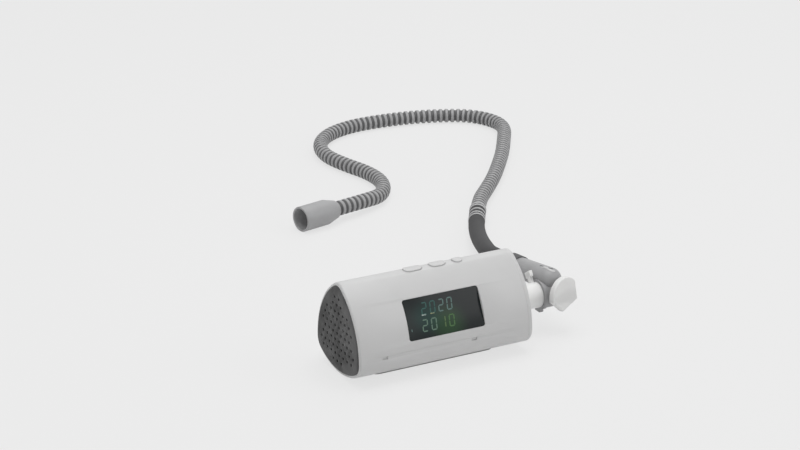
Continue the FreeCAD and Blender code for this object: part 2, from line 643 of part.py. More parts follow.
def motor():
    """Motor pieces about the blower's axis: lid, stator, rotor magnet, shaft and two bearings."""
    axis = vec(BLOWER_X, BLOWER_Y, 0)
    low_bearing = CUP_Z0 + 1.0
    lid = rod(CUP_R, axis + vec(0, 0, CUP_Z0 - MOTOR_LID), axis + vec(0, 0, CUP_Z0))
    lid = lid.fuse(rod(BEARING_R + 1.8, axis + vec(0, 0, CUP_Z0 - MOTOR_LID), axis + vec(0, 0, low_bearing + BEARING_HIGH)))
    lid = lid.cut(rod(BEARING_R + BEARING_GAP, axis + vec(0, 0, low_bearing), axis + vec(0, 0, 30)))
    z0, z1 = STATOR_Z
    bore = ROTOR_R + AIR_GAP
    stator = tube(CUP_R - CUP_WALL - FIT, bore, axis + vec(0, 0, z0), axis + vec(0, 0, z1))
    for k in range(STATOR_SLOTS):
        a = math.radians(360.0 / STATOR_SLOTS * k)
        spot = axis + vec(11.0 * math.cos(a), 11.0 * math.sin(a), 0)
        stator = stator.cut(rod(2.2, spot + vec(0, 0, z0 - 1), spot + vec(0, 0, z1 + 1)))
    magnet = tube(ROTOR_R, SHAFT_R, axis + vec(0, 0, z0 + 0.6), axis + vec(0, 0, z1 - 0.6))
    shaft_top = SCROLL_Z0 + IMPELLER_LIFT + IMPELLER_HIGH - 3
    shaft = rod(SHAFT_R, axis + vec(0, 0, low_bearing + 0.1), axis + vec(0, 0, shaft_top))
    bearings = [tube(BEARING_R, SHAFT_R + SHAFT_GAP, axis + vec(0, 0, z), axis + vec(0, 0, z + BEARING_HIGH))
                for z in (low_bearing, SCROLL_Z0 - BEARING_HIGH)]
    return {"motor_lid": lid, "motor_stator": stator, "rotor_magnet": magnet, "motor_shaft": shaft,
            "motor_bearings": Part.makeCompound(bearings)}


def blower_mounts():
    """Three silicone feet under the blower."""
    feet = []
    for x, y in mount_places():
        z0, z1 = MOUNT_Z
        foot = rod(MOUNT_R, vec(x, y, z0 + SHELF_GAP), vec(x, y, z1))
        feet.append(foot.cut(rod(PIN_R + SHELF_GAP, vec(x, y, z0), vec(x, y, z0 + 3.4))))
    return Part.makeCompound(feet)


# ---------------------------------------------------------------- air path
def sweep(points_or_edges, radius, start, direction):
    """Solid tube of one radius along a wire."""
    ring = Part.Wire(Part.makeCircle(radius, start, direction))
    return Part.Wire(points_or_edges).makePipeShell([ring], True, False)


def outlet_duct():
    """Silicone duct that swings from the blower's spout to the port's inner end."""
    at = spout_place() + vec(CASING_WALL + FIT, 0, 0)
    a = at + vec(SPOUT_LENGTH, 0, 0)
    b = vec(X_END - PORT_FLANGE - SPOUT_LENGTH - FIT, 0, PORT_Z)
    end = b + vec(SPOUT_LENGTH - FIT, 0, 0)
    side = vec(0, b.y - a.y, b.z - a.z)
    offset = side.Length
    side.normalize()
    run = b.x - a.x
    bend_r = (run ** 2 + offset ** 2) / (4 * offset)
    half_turn = math.asin(run / 2 / bend_r) / 2
    bow = vec(bend_r * math.sin(half_turn), 0, 0) + side * (bend_r * (1 - math.cos(half_turn)))
    middle = (a + b) * 0.5
    edges = [Part.LineSegment(at, a).toShape(), Part.Arc(a, a + bow, middle).toShape(),
             Part.Arc(middle, b - bow, b).toShape(), Part.LineSegment(b, end).toShape()]
    outer = sweep(edges, DUCT_BORE_R + DUCT_WALL, at, vec(1, 0, 0))
    return outer.cut(sweep(edges, DUCT_BORE_R, at, vec(1, 0, 0)))


def stop_lug():
    """Small hooked lug on the port that stops the swivel."""
    long, wide, deep = STOP_LUG
    x1 = PORT_TIP - 1.0
    stem = block(x1 - long, x1, -wide / 4, wide / 4, PORT_R - 1, STOP_R)
    head = block(x1 - long, x1, -wide / 2, wide / 2, STOP_R - deep, STOP_R)
    lug = stem.fuse(head)
    lug.rotate(vec(0, 0, 0), vec(1, 0, 0), STOP_DEG - 90.0)
    lug.translate(vec(0, 0, PORT_Z))
    return lug


def outlet_port():
    """White outlet tube: inner spout, flange, outside tube and the spigot that the elbow turns on."""
    start = X_END - PORT_FLANGE - SPOUT_LENGTH
    port = rod(SPOUT_R, vec(start, 0, PORT_Z), vec(X_END, 0, PORT_Z))
    port = port.fuse(rod(PORT_FLANGE_R, vec(X_END - PORT_FLANGE, 0, PORT_Z), vec(X_END - SHELF_GAP, 0, PORT_Z)))
    port = port.fuse(rod(PORT_R, vec(X_END - 1, 0, PORT_Z), vec(PORT_TIP, 0, PORT_Z)))
    port = port.fuse(rod(SPIGOT_R, vec(X_END, 0, PORT_Z), vec(PORT_TIP + SPIGOT_LENGTH, 0, PORT_Z)))
    port = port.fuse(stop_lug())
    groove = tube(SPIGOT_R + 1, SPIGOT_R - GROOVE_DEEP, vec(PORT_GROOVE_X, 0, PORT_Z),
                  vec(PORT_GROOVE_X + GROOVE_WIDE, 0, PORT_Z))
    bore = rod(SPOUT_R - SPOUT_WALL, vec(start - 1, 0, PORT_Z), vec(PORT_TIP + SPIGOT_LENGTH + 1, 0, PORT_Z))
    return port.cut(groove).cut(bore).removeSplitter()


def port_seal():
    """Square sealing ring in the port's groove."""
    return tube(SPIGOT_R, SPIGOT_R - GROOVE_DEEP + SEAL_GAP, vec(PORT_GROOVE_X + SEAL_GAP, 0, PORT_Z),
                vec(PORT_GROOVE_X + GROOVE_WIDE - SEAL_GAP, 0, PORT_Z))


# ---------------------------------------------------------------- boards and power inlet
def main_board():
    x0, x1, y0, y1 = MAIN_BOARD
    return block(x0, x1, y0, y1, MAIN_BOARD_Z, MAIN_BOARD_Z + MAIN_BOARD_THICK)


def board_chips():
    """Main packages on the board."""
    top = MAIN_BOARD_Z + MAIN_BOARD_THICK
    x0, _, y0, _ = MAIN_BOARD
    return Part.makeCompound([block(x0 + x, x0 + x + w, y0 + y, y0 + y + d, top, top + h) for x, y, w, d, h in CHIPS])


def pressure_sensor():
    """Sensor block with its hose nipple, on the underside of the main board."""
    x = MAIN_BOARD[0] + SENSOR[0]
    y = MAIN_BOARD[2] + SENSOR[1]
    side, high = SENSOR[2:]
    r, long = NIPPLE
    low = MAIN_BOARD_Z - high
    foot = vec(x + side / 2, y + side / 2, low)
    return block(x, x + side, y, y + side, low, MAIN_BOARD_Z).fuse(rod(r, foot - vec(0, 0, long), foot))


def dc_inlet():
    """Power inlet: a moulded block behind the back wall with a barrel that shows in a round hole."""
    long, deep, high = INLET_BOX
    wall_y = side_y(INLET_Z + high / 2, WALL)
    face_y = side_y(INLET_Z, 0) - INLET_SUNK
    y0 = wall_y - FIT - deep
    body = block(INLET_X - long / 2, INLET_X + long / 2, y0, y0 + deep, INLET_Z - high / 2, INLET_Z + high / 2)
    body = body.fuse(rod(INLET_BARREL_R, vec(INLET_X, y0 + 2, INLET_Z), vec(INLET_X, face_y, INLET_Z)))
    bore = rod(INLET_BORE_R, vec(INLET_X, face_y - 10.0, INLET_Z), vec(INLET_X, face_y + 1, INLET_Z))
    return body.cut(bore).removeSplitter()


def dc_pin():
    """Centre pin of the power inlet."""
    face_y = side_y(INLET_Z, 0) - INLET_SUNK
    return rod(INLET_PIN_R, vec(INLET_X, face_y - 10.0, INLET_Z), vec(INLET_X, face_y - 1.5, INLET_Z))


# ---------------------------------------------------------------- elbow
def arm_points():
    """Front centre and rear end of the elbow's arm."""
    start = vec(CHAMBER_X + ARM_BESIDE, ARM_BEHIND, PORT_Z + ARM_RISE)
    direction = vec(0, math.sqrt(ARM_LENGTH ** 2 - ARM_DROP ** 2), -ARM_DROP)
    return start, start + direction


def swivel_ring():
    """Dark collar at the mouth of the elbow, with a small lug below."""
    x0 = PORT_TIP + FIT
    ring = rod(RING_R, vec(x0, 0, PORT_Z), vec(x0 + RING_LENGTH, 0, PORT_Z))
    wide, high = RING_LUG
    ring = ring.fuse(block(x0, x0 + RING_LENGTH, -wide / 2, wide / 2, PORT_Z - RING_R - high, PORT_Z - RING_R + 3))
    return ring.cut(rod(SPIGOT_R + SWIVEL_GAP, vec(x0 - 1, 0, PORT_Z), vec(x0 + 10, 0, PORT_Z))).removeSplitter()


def knob_frame():
    """Placement at the chamber's centre with local Z along the knob's axis and local X level."""
    turn = math.radians(CAP_TURN)
    pitch = math.radians(CAP_PITCH)
    out = vec(math.sin(turn) * math.cos(pitch), -math.cos(turn) * math.cos(pitch), math.sin(pitch))
    right = vec(math.cos(turn), math.sin(turn), 0)
    return FreeCAD.Placement(vec(CHAMBER_X, 0, PORT_Z), FreeCAD.Rotation(right, out.cross(right), out, "ZXY"))


def on_knob_axis(radius, depth0, depth1):
    """Cylinder about the knob's axis between two distances from the chamber's centre."""
    shape = rod(radius, vec(0, 0, depth0), vec(0, 0, depth1))
    shape.Placement = knob_frame().multiply(shape.Placement)
    return shape


def elbow_body():
    """Elbow: a domed chamber that turns on the port, a boss for the knob and a tapered arm to the hose."""
    x0 = CHAMBER_X - CHAMBER_LENGTH
    centre = vec(CHAMBER_X, 0, PORT_Z)
    chamber = rod(CHAMBER_R, vec(x0, 0, PORT_Z), centre).fuse(Part.makeSphere(CHAMBER_R, centre))
    chamber = chamber.fuse(on_knob_axis(CAP_HUB_R + CAP_BOSS_WALL, 0, CAP_REACH - CAP_GAP))
    start, end = arm_points()
    along = end - start
    arm = Part.makeCone(ARM_R0, ARM_R1, along.Length, start, along).fuse(Part.makeSphere(ARM_R0, start))
    elbow = chamber.fuse(arm)
    elbow = elbow.cut(rod(ARM_BORE_R, start, end + along * 0.1)).cut(Part.makeSphere(ARM_BORE_R, start))
    inner_r = SPIGOT_R + SWIVEL_GAP
    elbow = elbow.cut(rod(inner_r, vec(x0 - 1, 0, PORT_Z), centre)).cut(Part.makeSphere(inner_r, centre))
    elbow = elbow.cut(on_knob_axis(CAP_HUB_R + SWIVEL_GAP, 0, CAP_REACH + 1))
    before_ring = rod(RING_R + CAP_GAP, vec(PORT_TIP - 5, 0, PORT_Z), vec(x0, 0, PORT_Z))
    knob_room = on_knob_axis(CAP_R + CAP_GAP, CAP_REACH - CAP_GAP, CAP_REACH + CAP_THICK + 1)
    return elbow.cut(before_ring).cut(knob_room).removeSplitter()


def elbow_cap():
    """White knob on the chamber's boss, round with three grip flats, with a hollow hub inside the boss."""
    z0 = CAP_REACH
    z1 = z0 + CAP_THICK
    knob = rod(CAP_R, vec(0, 0, z0), vec(0, 0, z1))
    for degrees, distance in CAP_FLATS:
        flat = block(distance, FAR, -FAR, FAR, z0 - 1, z1 + 1)
        flat.rotate(vec(0, 0, 0), vec(0, 0, 1), degrees)
        knob = knob.cut(flat)
    upright = [e for e in knob.Edges if abs(e.tangentAt(e.FirstParameter).z) > 0.99 and not is_seam(knob, e)]
    knob = knob.makeFillet(CAP_CORNER, upright)
    knob = knob.makeFillet(CAP_EDGE, [e for e in knob.Edges if e.BoundBox.ZMin > z1 - 0.01])
    hub = rod(CAP_HUB_R, vec(0, 0, z0 - CAP_HUB), vec(0, 0, z0 + 1))
    groove_z = z0 - CAP_GAP - 1.2 - GROOVE_WIDE
    groove = tube(CAP_HUB_R + 1, CAP_HUB_R - GROOVE_DEEP, vec(0, 0, groove_z), vec(0, 0, groove_z + GROOVE_WIDE))
    room = rod(CAP_HUB_R - CAP_HUB_WALL, vec(0, 0, z0 - CAP_HUB - 1), vec(0, 0, z1 - CAP_FACE))
    cap = knob.fuse(hub).cut(groove).cut(room).removeSplitter()
    cap.Placement = knob_frame().multiply(cap.Placement)
    return cap


def is_seam(shape, edge):
    """Whether an edge is only the closing line of a round face."""
    return sum(1 for f in shape.Faces if any(e.isSame(edge) for e in f.Edges)) < 2


def cap_seal():
    """Square sealing ring on the knob's hub."""
    low = CAP_REACH - CAP_GAP - 1.2 - GROOVE_WIDE + SEAL_GAP
    ring = tube(CAP_HUB_R, CAP_HUB_R - GROOVE_DEEP + SEAL_GAP, vec(0, 0, low),
                vec(0, 0, low + GROOVE_WIDE - 2 * SEAL_GAP))
    ring.Placement = knob_frame().multiply(ring.Placement)
    return ring


# ---------------------------------------------------------------- hose
def sleeve_route():
    """Smooth first stretch: out of the elbow's cuff, down to the resting plane and along it."""
    start, end = arm_points()
    along = (end - start).normalize()
    exit_point = end + along * CUFF_BEYOND
    return [exit_point, exit_point + along * 24.0, vec(132.5, 115, 32), vec(142.5, 140, 26.8),
            vec(154.5, 168, 20.5), vec(170.5, 203, 13.5), vec(189.5, 240, BAND_Z), vec(210.5, 273, BAND_Z)]


def hose_route():
    """Ribbed hose: along the resting plane, round a bend to the left and back towards the machine."""
    last = CONNECTOR_R + CONNECTOR_CLEAR
    banded = [vec(210.5, 273, BAND_Z), vec(227.3, 299.4, BAND_Z)]
    flat = [(250.5, 325), (277.5, 355.5), (302.5, 388), (327.5, 422), (350.5, 458), (374, 496), (373.7, 526.5),
            (357.8, 552.5), (330.5, 566.6), (298.5, 577), (259.5, 582), (219.5, 581), (184.5, 567), (159.5, 540),
            (149.5, 504), (155.5, 467), (166.5, 431), (165.5, 394), (146.5, 362)]
    return banded + [vec(x, y, TOUCHDOWN) for x, y in flat] + [vec(114.5, 344, last), vec(78.5, 336, last)]


def route_edges(points):
    """Straight runs joined by tangent arcs, each as large as its two runs allow. Returns edges and radii."""
    edges, radii = [], []
    at = points[0]
    for before, corner, after in zip(points, points[1:], points[2:]):
        a = before - corner
        b = after - corner
        turn = math.pi - a.getAngle(b)
        cut = 0.45 * min(a.Length, b.Length)
        radii.append(cut / math.tan(turn / 2))
        a.normalize()
        b.normalize()
        enter = corner + a * cut
        leave = corner + b * cut
        middle = (a + b).normalize() * (radii[-1] / math.cos(turn / 2) - radii[-1])
        edges.append(Part.LineSegment(at, enter).toShape())
        edges.append(Part.Arc(enter, corner + middle, leave).toShape())
        at = leave
    edges.append(Part.LineSegment(at, points[-1]).toShape())
    return edges, radii


def cord_tube(name, points):
    """Hollow tube along a route, with its length, tightest radius and volume printed."""
    edges, radii = route_edges(points)
    start = points[0]
    direction = points[1] - points[0]
    outer = sweep(edges, HOSE_R, start, direction)
    hose = outer.cut(sweep(edges, HOSE_BORE_R, start, direction))
    length = sum(e.Length for e in edges)
    ideal = math.pi * (HOSE_R ** 2 - HOSE_BORE_R ** 2) * length
    print(f"{name}: length {length:.1f} mm, radii {min(radii):.0f} to {max(radii):.0f} mm, "
          f"volume over section times length {hose.Volume / ideal:.4f}")
    return hose


def along_cord(at, direction, outer_r, length0, length1):
    """Ring round the hose between two distances from a point on it."""
    unit = vec(direction.x, direction.y, direction.z).normalize()
    return tube(outer_r, HOSE_R, at + unit * length0, at + unit * length1)


def machine_cuff():
    """Rubber cuff that holds the hose on the elbow's arm."""
    start, end = arm_points()
    along = (end - start).normalize()
    cuff = rod(CUFF_R, end - along * CUFF_OVERLAP, end + along * CUFF_BEYOND)
    arm = Part.makeCone(ARM_R0, ARM_R1, (end - start).Length, start, along)
    return cuff.cut(arm).cut(rod(HOSE_BORE_R, end - along, end + along * 20))


def sleeve_collar():
    """Two bands that clamp the ribbed hose on the sleeve."""
    route = hose_route()
    direction = route[1] - route[0]
    rings = [along_cord(route[0], direction, COLLAR_R, s, s + 3.4) for s in (-COLLAR_LENGTH / 2, 1.1)]
    return Part.makeCompound(rings)


def hose_connector():
    """End cuff of the hose: a tapered grip and a wide socket that lies on the resting plane."""
    route = hose_route()
    tip = route[-1]
    along = (route[-1] - route[-2]).normalize()
    along.z = 0
    along.normalize()
    neck = CONNECTOR_LENGTH * 0.3
    cone = Part.makeCone(CONNECTOR_NECK_R, CONNECTOR_R, neck, tip, along)
    body = rod(CONNECTOR_R, tip + along * neck, tip + along * CONNECTOR_LENGTH)
    end = tip + along * CONNECTOR_LENGTH
    connector = cone.fuse(body).cut(rod(CONNECTOR_BORE_R, end - along * CONNECTOR_BORE, end + along))
    print("connector mouth", end, "axis", along)
    return connector.cut(rod(HOSE_BORE_R, tip - along, end)).removeSplitter()


def make_parts():
    """All sub-parts by name."""
    parts = {
        "main_housing": main_housing(), "base_cover": base_cover(), "outlet_end_cover": outlet_end_cover(),
        "foot_pad": foot_pad(), "filter_cover": filter_cover(), "filter_pad": filter_pad(),
        "inlet_frame": inlet_frame(), "silencer_foam": silencer_foam(),
        "display_lens": lens_slab(LENS_WIDE, LENS_HIGH, 0, LENS_THICK, LENS_ROUND),
        "display_panel": lens_slab(LENS_WIDE - 2 * PANEL_MARGIN[0], LENS_HIGH - 2 * PANEL_MARGIN[1],
                                   LENS_THICK + PANEL_GAP, LENS_THICK + PANEL_GAP + PANEL_THICK),
        "display_board": lens_slab(DISPLAY_BOARD_WIDE, DISPLAY_BOARD_HIGH, POCKET_DEPTH + SHELF_GAP,
                                   POCKET_DEPTH + SHELF_GAP + BOARD_THICK),
        "button_board": button_board(), "blower_casing": blower_casing(), "blower_lid": blower_lid(),
        "impeller": impeller(), "blower_mounts": blower_mounts(), "outlet_duct": outlet_duct(),
        "outlet_port": outlet_port(), "port_seal": port_seal(), "main_board": main_board(),
        "board_chips": board_chips(), "pressure_sensor": pressure_sensor(), "dc_inlet": dc_inlet(),
        "dc_pin": dc_pin(), "swivel_ring": swivel_ring(), "elbow_body": elbow_body(), "elbow_cap": elbow_cap(),
        "cap_seal": cap_seal(), "machine_cuff": machine_cuff(), "sleeve_collar": sleeve_collar(),
        "hose_sleeve": cord_tube("hose_sleeve", sleeve_route()), "hose": cord_tube("hose", hose_route()),
        "hose_connector": hose_connector(),
    }
    parts.update(motor())
    for name, x, length in KEYS:
        parts[name] = key(x, length)
        parts[name + "_dome"] = key_dome(x)
    return parts


def main():
    os.makedirs("parts", exist_ok=True)
    for name, shape in make_parts().items():
        solids = shape.Solids
        if not solids or not all(s.isValid() for s in solids):
            print("NOT VALID", name)
        solid = solids[0] if len(solids) == 1 else Part.makeCompound(solids)
        solid.exportStep(f"parts/{name}.step")
        print(f"{name}: {len(solids)} solid(s), {solid.Volume:.0f} mm3")


main()
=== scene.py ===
"""Travel breathing machine on a plain pale floor: shell, display, keys, vented cap, swivel elbow and hose.

Everything is in metres, in the model's own frame: +X from the vented cap to the outlet, +Y to the back,
+Z up, with the origin in the middle of the foot pad's resting face.
"""

import json
import logging
import math
from collections import defaultdict
from dataclasses import dataclass, field
from enum import Enum
from typing import ClassVar, Optional, Sequence

import bmesh
import bpy
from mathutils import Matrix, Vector
from mathutils.bvhtree import BVHTree

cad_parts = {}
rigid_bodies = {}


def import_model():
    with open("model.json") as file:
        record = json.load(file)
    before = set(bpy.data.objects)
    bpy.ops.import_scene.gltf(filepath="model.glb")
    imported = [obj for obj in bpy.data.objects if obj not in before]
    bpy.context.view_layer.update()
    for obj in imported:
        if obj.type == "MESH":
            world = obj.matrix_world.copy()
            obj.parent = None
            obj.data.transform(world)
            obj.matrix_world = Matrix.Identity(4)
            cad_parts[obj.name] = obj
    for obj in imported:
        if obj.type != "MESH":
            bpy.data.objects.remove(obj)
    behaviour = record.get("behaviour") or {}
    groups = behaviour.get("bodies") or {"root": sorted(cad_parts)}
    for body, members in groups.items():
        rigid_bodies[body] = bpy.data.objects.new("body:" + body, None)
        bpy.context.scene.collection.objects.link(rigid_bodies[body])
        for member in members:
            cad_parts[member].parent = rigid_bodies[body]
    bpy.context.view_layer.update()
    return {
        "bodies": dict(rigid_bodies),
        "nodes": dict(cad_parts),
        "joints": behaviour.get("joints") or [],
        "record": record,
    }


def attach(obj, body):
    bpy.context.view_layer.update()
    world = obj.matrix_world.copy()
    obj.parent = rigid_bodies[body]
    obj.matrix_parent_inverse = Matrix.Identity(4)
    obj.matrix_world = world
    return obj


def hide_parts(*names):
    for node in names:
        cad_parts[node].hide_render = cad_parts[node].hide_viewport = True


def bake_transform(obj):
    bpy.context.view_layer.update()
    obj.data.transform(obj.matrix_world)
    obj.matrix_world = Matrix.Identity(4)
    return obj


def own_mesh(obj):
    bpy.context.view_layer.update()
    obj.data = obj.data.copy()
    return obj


LOG = logging.getLogger("breathing_machine")
MM = 0.001
MIX_FIRST, MIX_SECOND, MIX_RESULT = 6, 7, 2  # a mix node's colour inputs and its colour output
# the hose's finish paints highlights on the ridges and shade in the valleys from this
RIB = "rib"  # how far up its ridge each point of the ribbed hose is, 0 to 1
Point = tuple[float, float, float]
Socket = bpy.types.NodeSocket
Tree = bpy.types.NodeTree


# ---------------------------------------------------------------- nodes
def linear(code: str) -> tuple[float, float, float, float]:
    """Turn an sRGB hex colour into a linear one.

    Args:
        code: Six hex digits after a hash, as in a paint chart.

    Returns:
        Linear red, green, blue and an alpha of 1.
    """
    channels = [int(code[i:i + 2], 16) / 255 for i in (1, 3, 5)]
    flat = [c / 12.92 if c <= 0.04045 else ((c + 0.055) / 1.055) ** 2.4 for c in channels]
    return flat[0], flat[1], flat[2], 1.0


def add_node(tree: Tree, kind: str, links: Optional[dict] = None, **settings) -> bpy.types.Node:
    """Add a node to a tree with its settings, input values and links.

    Args:
        tree: The material's, world's or modifier's node tree.
        kind: The node's type name.
        links: Input name or index to either a value or an output socket.
        settings: Properties of the node itself.

    Returns:
        The new node.
    """
    node = tree.nodes.new(kind)
    for name, value in settings.items():
        setattr(node, name, value)
    for key, value in (links or {}).items():
        socket = node.inputs[key]
        if isinstance(value, Socket):
            tree.links.new(value, socket)
        else:
            socket.default_value = value
    return node


def emptied_tree(owner: bpy.types.ID) -> Tree:
    """Switch on the nodes of a material or a world.

    Args:
        owner: The material or the world.

    Returns:
        Its node tree, with nothing in it.
    """
    owner.use_nodes = True
    owner.node_tree.nodes.clear()
    return owner.node_tree


# ---------------------------------------------------------------- meshes
def object_from(name: str, mesh: bpy.types.Mesh,
                material: Optional[bpy.types.Material] = None) -> bpy.types.Object:
    """Put a mesh into the scene as a piece at the origin.

    Args:
        name: The piece's name.
        mesh: Its mesh, already in place.
        material: Its finish, unless the mesh has one.

    Returns:
        The new object.
    """
    piece = bpy.data.objects.new(name, mesh)
    bpy.context.scene.collection.objects.link(piece)
    if material is not None:
        mesh.materials.clear()
        mesh.materials.append(material)
    return piece


def drawn_piece(name: str, shape: bmesh.types.BMesh, material: bpy.types.Material) -> bpy.types.Object:
    """Turn a drawn shape into a piece with its faces outwards, and let go of the drawing.

    Args:
        name: The piece's name.
        shape: The drawing.
        material: The piece's finish.

    Returns:
        The new object.
    """
    bmesh.ops.recalc_face_normals(shape, faces=shape.faces)
    mesh = bpy.data.meshes.new(name)
    shape.to_mesh(mesh)
    shape.free()
    return object_from(name, mesh, material)


def plain_mesh(piece: bpy.types.Object) -> bpy.types.Mesh:
    """Apply a piece's modifiers to a copy of its mesh, or of its curve.

    Args:
        piece: The piece, which stays as it is.

    Returns:
        The new mesh.
    """
    graph = bpy.context.evaluated_depsgraph_get()
    graph.update()
    return bpy.data.meshes.new_from_object(piece.evaluated_get(graph), depsgraph=graph)


def bake_modifiers(piece: bpy.types.Object) -> None:
    """Replace a piece's mesh by the modified one and take the modifiers off.

    Args:
        piece: The piece to change.
    """
    mesh = plain_mesh(piece)
    piece.modifiers.clear()
    old = piece.data
    piece.data = mesh
    bpy.data.meshes.remove(old)


def shade_smooth(mesh: bpy.types.Mesh, angle: float) -> None:
    """Shade a mesh smooth and keep its edges above an angle, in degrees, sharp."""
    mesh.shade_smooth()
    mesh.set_sharp_from_angle(angle=math.radians(angle))


# ---------------------------------------------------------------- finishes
@dataclass(frozen=True)
class Coating:
    """What every finish has: a name, and one principled shader that its own nodes feed."""

    name: str

    def inputs(self, tree: Tree, place: Socket) -> dict:
        """Add the nodes that feed the shader.

        Args:
            tree: The material's node tree.
            place: Where on the piece the shader is.

        Returns:
            The shader's input names with their values or sockets.
        """
        raise NotImplementedError

    def build(self) -> bpy.types.Material:
        """Make the material, with its patterns on the piece's own coordinates.

        Returns:
            The material.
        """
        material = bpy.data.materials.new(self.name)
        tree = emptied_tree(material)
        place = add_node(tree, "ShaderNodeTexCoord").outputs["Object"]
        shader = add_node(tree, "ShaderNodeBsdfPrincipled", self.inputs(tree, place))
        add_node(tree, "ShaderNodeOutputMaterial", {"Surface": shader.outputs["BSDF"]})
        return material


@dataclass(frozen=True)
class MouldedPlastic(Coating):
    """Injection-moulded ABS with a fine spark-eroded grain: satin, with a soft broken highlight.

    Over the grain the roughness goes from smoother below its middle to rougher above it. The real grain is
    about 0.1 mm, which is too fine to show, so it is drawn coarser.
    """

    colour: str
    shade: str
    roughness: float = 0.42
    smoother: float = 0.05
    rougher: float = 0.07
    grain_mm: float = 0.6
    grain_depth: float = 0.035
    grain_relief_mm: float = 0.1
    cloud_mm: float = 34.0
    cloud_spread: float = 0.5
    ior: float = 1.54

    def inputs(self, tree: Tree, place: Socket) -> dict:
        """Feed the shader a clouded colour, and one grain for its gloss and its bumps.

        Args:
            tree: The material's node tree.
            place: Where on the piece the shader is.

        Returns:
            The shader's input names with their values or sockets.
        """
        cloud = add_node(tree, "ShaderNodeTexNoise", {
            "Vector": place, "Scale": 1 / (self.cloud_mm * MM), "Detail": 3.0, "Roughness": 0.5})
        grain = add_node(tree, "ShaderNodeTexNoise", {
            "Vector": place, "Scale": 1 / (self.grain_mm * MM), "Detail": 2.0, "Roughness": 0.6})
        mottle = add_node(tree, "ShaderNodeMapRange", {
            "Value": cloud.outputs["Fac"], "From Min": 0.5 - self.cloud_spread,
            "From Max": 0.5 + self.cloud_spread})
        tone = add_node(tree, "ShaderNodeMix", {
            "Factor": mottle.outputs["Result"], MIX_FIRST: linear(self.shade),
            MIX_SECOND: linear(self.colour)}, data_type="RGBA")
        rough = add_node(tree, "ShaderNodeMapRange", {
            "Value": grain.outputs["Fac"], "To Min": self.roughness - self.smoother,
            "To Max": self.roughness + self.rougher})
        bump = add_node(tree, "ShaderNodeBump", {
            "Height": grain.outputs["Fac"], "Strength": self.grain_depth,
            "Distance": self.grain_relief_mm * MM})
        return {"Base Color": tone.outputs[MIX_RESULT], "Roughness": rough.outputs["Result"],
                "IOR": self.ior, "Normal": bump.outputs["Normal"]}


@dataclass(frozen=True)
class CastRubber(Coating):
    """Moulded rubber or soft PVC: matt to satin, with a faint bloom that lightens it in patches.

    Its grain is drawn coarser than the real one, which is too fine to show.
    """

    colour: str
    bloom: str
    roughness: float = 0.6
    patch_mm: float = 9.0
    grain_mm: float = 0.8
    grain_depth: float = 0.05
    grain_relief_mm: float = 0.15
    ior: float = 1.51

    def inputs(self, tree: Tree, place: Socket) -> dict:
        """Feed the shader a patchy colour and a grain.

        Args:
            tree: The material's node tree.
            place: Where on the piece the shader is.

        Returns:
            The shader's input names with their values or sockets.
        """
        patch = add_node(tree, "ShaderNodeTexNoise", {
            "Vector": place, "Scale": 1 / (self.patch_mm * MM), "Detail": 4.0, "Roughness": 0.6})
        grain = add_node(tree, "ShaderNodeTexNoise", {
            "Vector": place, "Scale": 1 / (self.grain_mm * MM), "Detail": 2.0})
        tone = add_node(tree, "ShaderNodeMix", {
            "Factor": patch.outputs["Fac"], MIX_FIRST: linear(self.colour),
            MIX_SECOND: linear(self.bloom)}, data_type="RGBA")
        bump = add_node(tree, "ShaderNodeBump", {
            "Height": grain.outputs["Fac"], "Strength": self.grain_depth,
            "Distance": self.grain_relief_mm * MM})
        return {"Base Color": tone.outputs[MIX_RESULT], "Roughness": self.roughness, "IOR": self.ior,
                "Normal": bump.outputs["Normal"]}


@dataclass(frozen=True)
class RibbedVinyl(Coating):
    """Blow-moulded PVC hose, satin, with painted light on its ribs: ridges painted pale as highlights,
    valleys dark as shade.
    """

    ridge: str
    valley: str
    roughness: float = 0.45
    patch_mm: float = 16.0
    patch_between: tuple[float, float] = (0.3, 0.7)
    weakest_highlight: float = 0.8
    crest_power: float = 2.4
    ior: float = 1.53

    def inputs(self, tree: Tree, place: Socket) -> dict:
        """Feed the shader painted highlights on the ridges and shade in the valleys, a little uneven along
        the hose.

        Args:
            tree: The material's node tree.
            place: Where on the piece the shader is.

        Returns:
            The shader's input names with their values or sockets.
        """
        rib = add_node(tree, "ShaderNodeAttribute", attribute_name=RIB).outputs["Fac"]
        patch = add_node(tree, "ShaderNodeTexNoise", {
            "Vector": place, "Scale": 1 / (self.patch_mm * MM), "Detail": 3.0, "Roughness": 0.6})
        highlight_unevenness = add_node(tree, "ShaderNodeMapRange", {
            "Value": patch.outputs["Fac"], "From Min": self.patch_between[0],
            "From Max": self.patch_between[1], "To Min": self.weakest_highlight, "To Max": 1.0})
        # painted highlight on each ridge fading to painted shade in each valley, weaker in random patches
        crest = add_node(tree, "ShaderNodeMath", {0: rib, 1: self.crest_power}, operation="POWER")
        highlight_share = add_node(tree, "ShaderNodeMath", {
            0: crest.outputs[0], 1: highlight_unevenness.outputs["Result"]}, operation="MULTIPLY")
        tone = add_node(tree, "ShaderNodeMix", {
            "Factor": highlight_share.outputs[0], MIX_FIRST: linear(self.valley), MIX_SECOND: linear(self.ridge)},
            data_type="RGBA")
        return {"Base Color": tone.outputs[MIX_RESULT], "Roughness": self.roughness, "IOR": self.ior}


